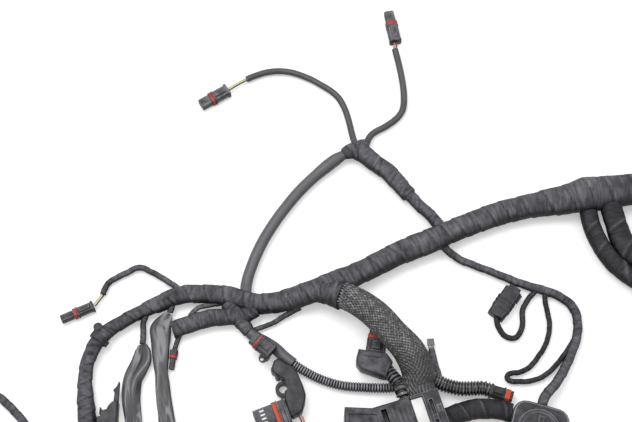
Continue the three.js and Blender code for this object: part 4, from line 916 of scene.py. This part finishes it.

# Plaited polyester monofilament: black, with painted glints: pale flecks along the crowns of the
# strands, fading to a quarter between 55 and 80 percent of the way along, toward the control unit
# plug
braid_plastic, tree, surface = new_material("plaited_polyester")
glint_and_fray_noise = cloudy(tree, 260.0, 5.0, 0.7)
hollows = add_node(tree, "ShaderNodeAttribute", {"attribute_name": "height"})
crowns = add_node(tree, "ShaderNodeMath", {"operation": "POWER"}, {
    0: hollows.outputs["Fac"], 1: 3.0,
})
glint_flecks = add_node(tree, "ShaderNodeMapRange", inputs={
    "Value": glint_and_fray_noise, "From Min": 0.47, "From Max": 0.6, "To Min": 0.12, "To Max": 1.0,
})
flat_map = add_node(tree, "ShaderNodeUVMap", {"uv_map": "round_and_along"})
axes = add_node(tree, "ShaderNodeSeparateXYZ", inputs={0: flat_map.outputs[0]})
glint_fade_along = add_node(tree, "ShaderNodeMapRange", {"interpolation_type": "SMOOTHSTEP"}, {
    "Value": axes.outputs["Y"], "From Min": 0.55 * braid_length * 1000,
    "From Max": 0.8 * braid_length * 1000, "To Min": 1.0, "To Max": 0.25,
})
painted_glints = add_node(tree, "ShaderNodeMath", {"operation": "MULTIPLY"}, {
    0: crowns.outputs[0], 1: glint_flecks.outputs[0],
})
painted_glints_faded = add_node(tree, "ShaderNodeMath", {"operation": "MULTIPLY"}, {
    0: painted_glints.outputs[0], 1: glint_fade_along.outputs[0],
})
# Painted glints: the crowns of the strands are painted pale in flecks
tone = add_node(tree, "ShaderNodeMix", {"data_type": "RGBA"}, {
    0: painted_glints_faded.outputs[0], 6: colour("#121213"), 7: colour("#d0cfd4"),
})
tree.links.new(tone.outputs[2], surface.inputs["Base Color"])
glints = add_node(tree, "ShaderNodeMapRange", inputs={
    "Value": glint_and_fray_noise, "From Min": 0.35, "From Max": 0.65,
    "To Min": 0.14, "To Max": 0.55,
})
tree.links.new(glints.outputs[0], surface.inputs["Roughness"])
fray = add_node(tree, "ShaderNodeBump", inputs={
    "Height": glint_and_fray_noise, "Strength": 0.5, "Distance": 0.0004,
})
tree.links.new(fray.outputs[0], surface.inputs["Normal"])
surface.inputs["IOR"].default_value = 1.57
paint_shade_on_flanks(braid_plastic, 0.2, 0.2, 0.95)


def strand_turn(along):
    """How far the strands have wound. They run nearly straight where the sleeve is pulled tight
    at its two ends, and cross each other between."""
    start = fan_out * (1 - math.exp(-along / fan_out))
    end = 1.6 * fan_out * math.exp((along - braid_length) / (1.6 * fan_out))
    return (along - start - end) / strand_lay


def strand_height(angle, along):
    """0 in the gaps and 1 on the crown of whichever strand passes over."""
    rising = strand_count * angle / math.tau + strand_turn(along)
    falling = strand_count * angle / math.tau - strand_turn(along)
    over = math.cos(math.pi * rising) * math.cos(math.pi * falling)
    first = 0.5 + 0.5 * math.cos(math.tau * rising)
    second = 0.5 + 0.5 * math.cos(math.tau * falling)
    return max(first * (0.75 + 0.25 * over), second * (0.75 - 0.25 * over))


def braid_skin(angle, along, radius):
    """Strands over a bundle that is not quite even."""
    lumps = 0.03 * ripple(angle, along, 0.03, 4.0)
    return radius * (0.985 + lumps) + strand_lift * (strand_height(angle, along) - 0.5)


braid_sides = 180
pushed_oval = (1.0, 0.8)
braid = wrap(
    "braided_sleeve_strands", braid_line, braid_skin, braid_plastic, braid_sides, pushed_oval,
)
keep_height(braid, braid_line, strand_height)
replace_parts(braid, "braided_sleeve")

# The conduits: nylon tube blown into rings so that it bends, over the thinner branches,
# and the smooth vinyl sleeve that covers the start of the long one.
# The long one is dusty, and the two short ones keep a wet gloss. Their grooves are painted dark:
# painted shade
conduit_nylon = moulded_nylon("ringed_conduit_nylon", "#7b7a80", "#b2b1b7", 0.3)
paint_shade_in_hollows(conduit_nylon, "#0b0b0c")
gloss_conduit_nylon = moulded_nylon("glossy_conduit_nylon", "#252428", "#77767b", 0.16)
gloss_shader = gloss_conduit_nylon.node_tree.nodes["Principled BSDF"]
gloss_shader.inputs["Specular IOR Level"].default_value = 0.8
paint_shade_in_hollows(gloss_conduit_nylon, "#0b0b0c")


def ring_height(pitch):
    """0 in a groove and 1 on the flat crest of a ring."""
    def height(angle, along):
        wave = 0.5 - 0.5 * math.cos(math.tau * along / pitch)
        crest = min(max((wave - 0.15) / 0.5, 0), 1)
        return crest * crest * (3 - 2 * crest)
    return height


def ringed_skin(pitch, groove):
    """Rings as far apart as the pitch, with grooves that deep between them."""
    height = ring_height(pitch)
    return lambda angle, along, radius: radius - groove * (1 - height(angle, along))


smooth_sleeve_route = mm([
    (-138.5, 104.7, 6.9, 5.7), (-132.4, 99.8, 6.5, 5.7), (-123.8, 95.4, 6.2, 5.7),
    (-114.1, 89.1, 6.2, 5.7), (-105.5, 81, 6.2, 5.7), (-100, 76.5, 6.2, 5.7),
    (-96.5, 74, 6.2, 5.7),
])
long_conduit_route = mm([
    (-96.1, 73.7, 6.1, 4.7), (-92.6, 71.3, 5.8, 4.7), (-87.3, 67.9, 5.6, 4.7),
    (-73.1, 60.3, 5.2, 4.7), (-52.3, 53.4, 5.2, 4.7), (-28.8, 51.2, 5.2, 4.7),
    (-8.9, 50.7, 5.2, 4.7), (4, 51.6, 5.2, 4.7), (12.6, 51.4, 5.2, 4.7),
])
long_conduit_route += [
    on_control(0.033, control_back + 0.009, 0.006, 0.0047),
    on_control(0.033, control_back + fit, 0.006, 0.0047),
]
elbow_conduit_route = mm([
    (-8.4, 67, 12.6, 6.5), (-5, 61.8, 15, 6.5), (-0.4, 55, 18.4, 6.5), (3.8, 48, 22, 6.5),
])
elbow_conduit_route += [
    on_control(0.0165, control_back + 0.009, 0.027, 0.0065),
    on_control(0.0165, control_back + fit, 0.027, 0.0065),
]
right_conduit_route = mm([
    (33, 58, 12, 7.2), (38, 55.6, 11, 7.2), (47, 52.2, 9.5, 7.2), (60.5, 49.4, 8.4, 7.2),
    (73.6, 49.6, 8, 7.2), (82.4, 49.8, 8, 7.2), (88.3, 48, 8, 7.2),
])

ring_mesh_step = 0.0004
for conduit_name, conduit_route, pitch, groove, plastic in (
    ("long_conduit", long_conduit_route, 0.0026, 0.0009, conduit_nylon),
    ("elbow_conduit", elbow_conduit_route, 0.0042, 0.0021, gloss_conduit_nylon),
    ("right_conduit", right_conduit_route, 0.003, 0.0013, gloss_conduit_nylon),
):
    line = follow(conduit_route, ring_mesh_step)
    rings = wrap(conduit_name + "_rings", line, ringed_skin(pitch, groove), plastic, 32)
    keep_height(rings, line, ring_height(pitch))
    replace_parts(rings, conduit_name)
line = follow(smooth_sleeve_route)
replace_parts(wrap("conduit_sleeve_vinyl", line, soft_tube_skin(8), vinyl, 28), "conduit_sleeve")

# The control unit plug: a base tray with the terminals, a ribbed cover that guides the wires,
# a white lock bar that slides across, and a side cover
cover_nylon = moulded_nylon("satin_cover_nylon", "#2d2c30", "#636267", 0.36)
white_nylon = moulded_nylon("white_nylon", "#e6e6e4", "#f6f6f5", 0.35)
cover_edge = 0.0005
moulded_piece("control_base", black_nylon, soft_edge)
moulded_piece("control_cover", cover_nylon, cover_edge)
moulded_piece("control_side_cover", black_nylon, cover_edge)
moulded_piece("control_lock_bar", white_nylon, soft_edge)

# The elbow plug and its cover, beside the braided sleeve: the wires turn a right angle
# inside the two-part nylon cover and run on in the short conduit
elbow_nylon = moulded_nylon("worn_black_nylon", "#333236", "#68676c", 0.42)
moulded_piece("elbow_plug", black_nylon)
moulded_piece("elbow_seal", orange_silicone, seal_edge)
moulded_piece("elbow_cover", elbow_nylon, round_edge)

# The four-way and five-way plugs, and the angled cover that leads the five-way plug's wires
# to the long conduit and is screwed down through its eye. Four ribs of the housing cross the
# four-way plug's seal, and a moulded white comb shows as eight blocks on the five-way plug
moulded_piece("four_way_plug", elbow_nylon)
moulded_piece("four_way_seal", red_silicone, seal_edge)


def plug_frame(rear, heading):
    """Where a plug's own origin, at its rear, lies, and which way it points in degrees."""
    return Matrix.Translation(rear) @ Matrix.Rotation(math.radians(heading), 4, "Z")


def small_blocks(name, boxes, softening, frame_of_plug, material):
    """Little moulded blocks, given as (place, size) in the frame of their plug."""
    bm = bmesh.new()
    for place, size in boxes:
        block = Matrix.Translation(place) @ Matrix.Diagonal((*size, 1))
        bmesh.ops.create_cube(bm, size=1.0, matrix=block)
    bmesh.ops.bevel(
        bm, geom=bm.edges[:], offset=softening, offset_type="OFFSET", segments=1, profile=0.5,
        affect="EDGES", clamp_overlap=True, material=-1,
    )
    bmesh.ops.transform(bm, matrix=frame_of_plug, verts=bm.verts)
    return finish_mesh(bm, name, material)


four_way_frame = plug_frame((-0.1164, 0.0814, 0.0125), 141)
five_way_frame = plug_frame((-0.099, 0.0221, 0), 201.5)
seal_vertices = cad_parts["four_way_seal"].data.vertices
seal_points = [four_way_frame.inverted() @ v.co for v in seal_vertices]
seal_low = [min(point[i] for point in seal_points) for i in range(3)]
seal_high = [max(point[i] for point in seal_points) for i in range(3)]
rib_count = 4
rib_width = 0.001
rib_height = 0.0012
rib_overlap = 0.0003
seal_ribs = []
for i in range(rib_count):
    across = seal_low[1] + (seal_high[1] - seal_low[1]) * (i + 1) / (rib_count + 1)
    rib_place = ((seal_low[0] + seal_high[0]) / 2, across, seal_high[2] - rib_overlap)
    rib_length = seal_high[0] - seal_low[0] + 2 * rib_overlap
    seal_ribs.append((rib_place, (rib_length, rib_width, rib_height)))
ribs = small_blocks("four_way_seal_ribs", seal_ribs, 0.0002, four_way_frame, elbow_nylon)
moulded_piece("five_way_plug", elbow_nylon)
moulded_piece("five_way_seal", orange_silicone, seal_edge)
moulded_piece("angled_backshell", black_nylon, soft_edge)
five_wire_route = mm([
    (-90.3, 23.8, 9), (-88.2, 20.6, 9), (-87.2, 16.5, 8), (-89.6, 12.9, 8), (-94.2, 11.1, 8),
])
tooth_count = 8
tooth_pitch = 0.0038
tooth_size = (0.0046, 0.0017, 0.0022)
teeth_ahead = 0.0235
teeth_up = 0.0153
teeth = [
    ((teeth_ahead, (i - (tooth_count - 1) / 2) * tooth_pitch, teeth_up), tooth_size)
    for i in range(tooth_count)
]
comb = small_blocks("five_way_comb", teeth, 0.0003, five_way_frame, white_nylon)
wires("five_way_wires", five_wire_route, brown_pair)

# The plug with the green body at the end of the right conduit, and the small plug that
# hangs from the inner left branch
green_nylon = moulded_nylon("black_green_nylon", "#2b2f2d", "#474c49", 0.42)
moulded_piece("green_plug", green_nylon)
moulded_piece("green_seal", orange_silicone, seal_edge)
moulded_piece("hanging_plug", black_nylon)
moulded_piece("hanging_seal", red_silicone, seal_edge)

# The round-cornered plug with its screw-in lid, beside the control unit plug
moulded_piece("round_plug", black_nylon, round_edge)
moulded_piece("round_lid", black_nylon, seal_edge)

# What holds and ends the bundles: the body clip, the plug beside the trunk, the tinned
# terminal, and the plugs just outside the photograph
# Tinned brass sheet, stamped: a dull grey metal with dark tarnish
tinned_brass, _, surface, _ = mottled("tinned_brass", "#2f2f2e", "#828280", 500.0)
surface.inputs["Metallic"].default_value = 1.0
surface.inputs["Roughness"].default_value = 0.38
moulded_piece("trunk_clip", black_nylon)
moulded_piece("lower_left_plug", black_nylon, soft_edge)
stamped_edge = 0.0003
moulded_piece("tin_terminal", tinned_brass, stamped_edge)
for end_plug in ("trunk_end_plug", "right_branch_plug", "front_left_plug"):
    moulded_piece(end_plug, black_nylon, round_edge)
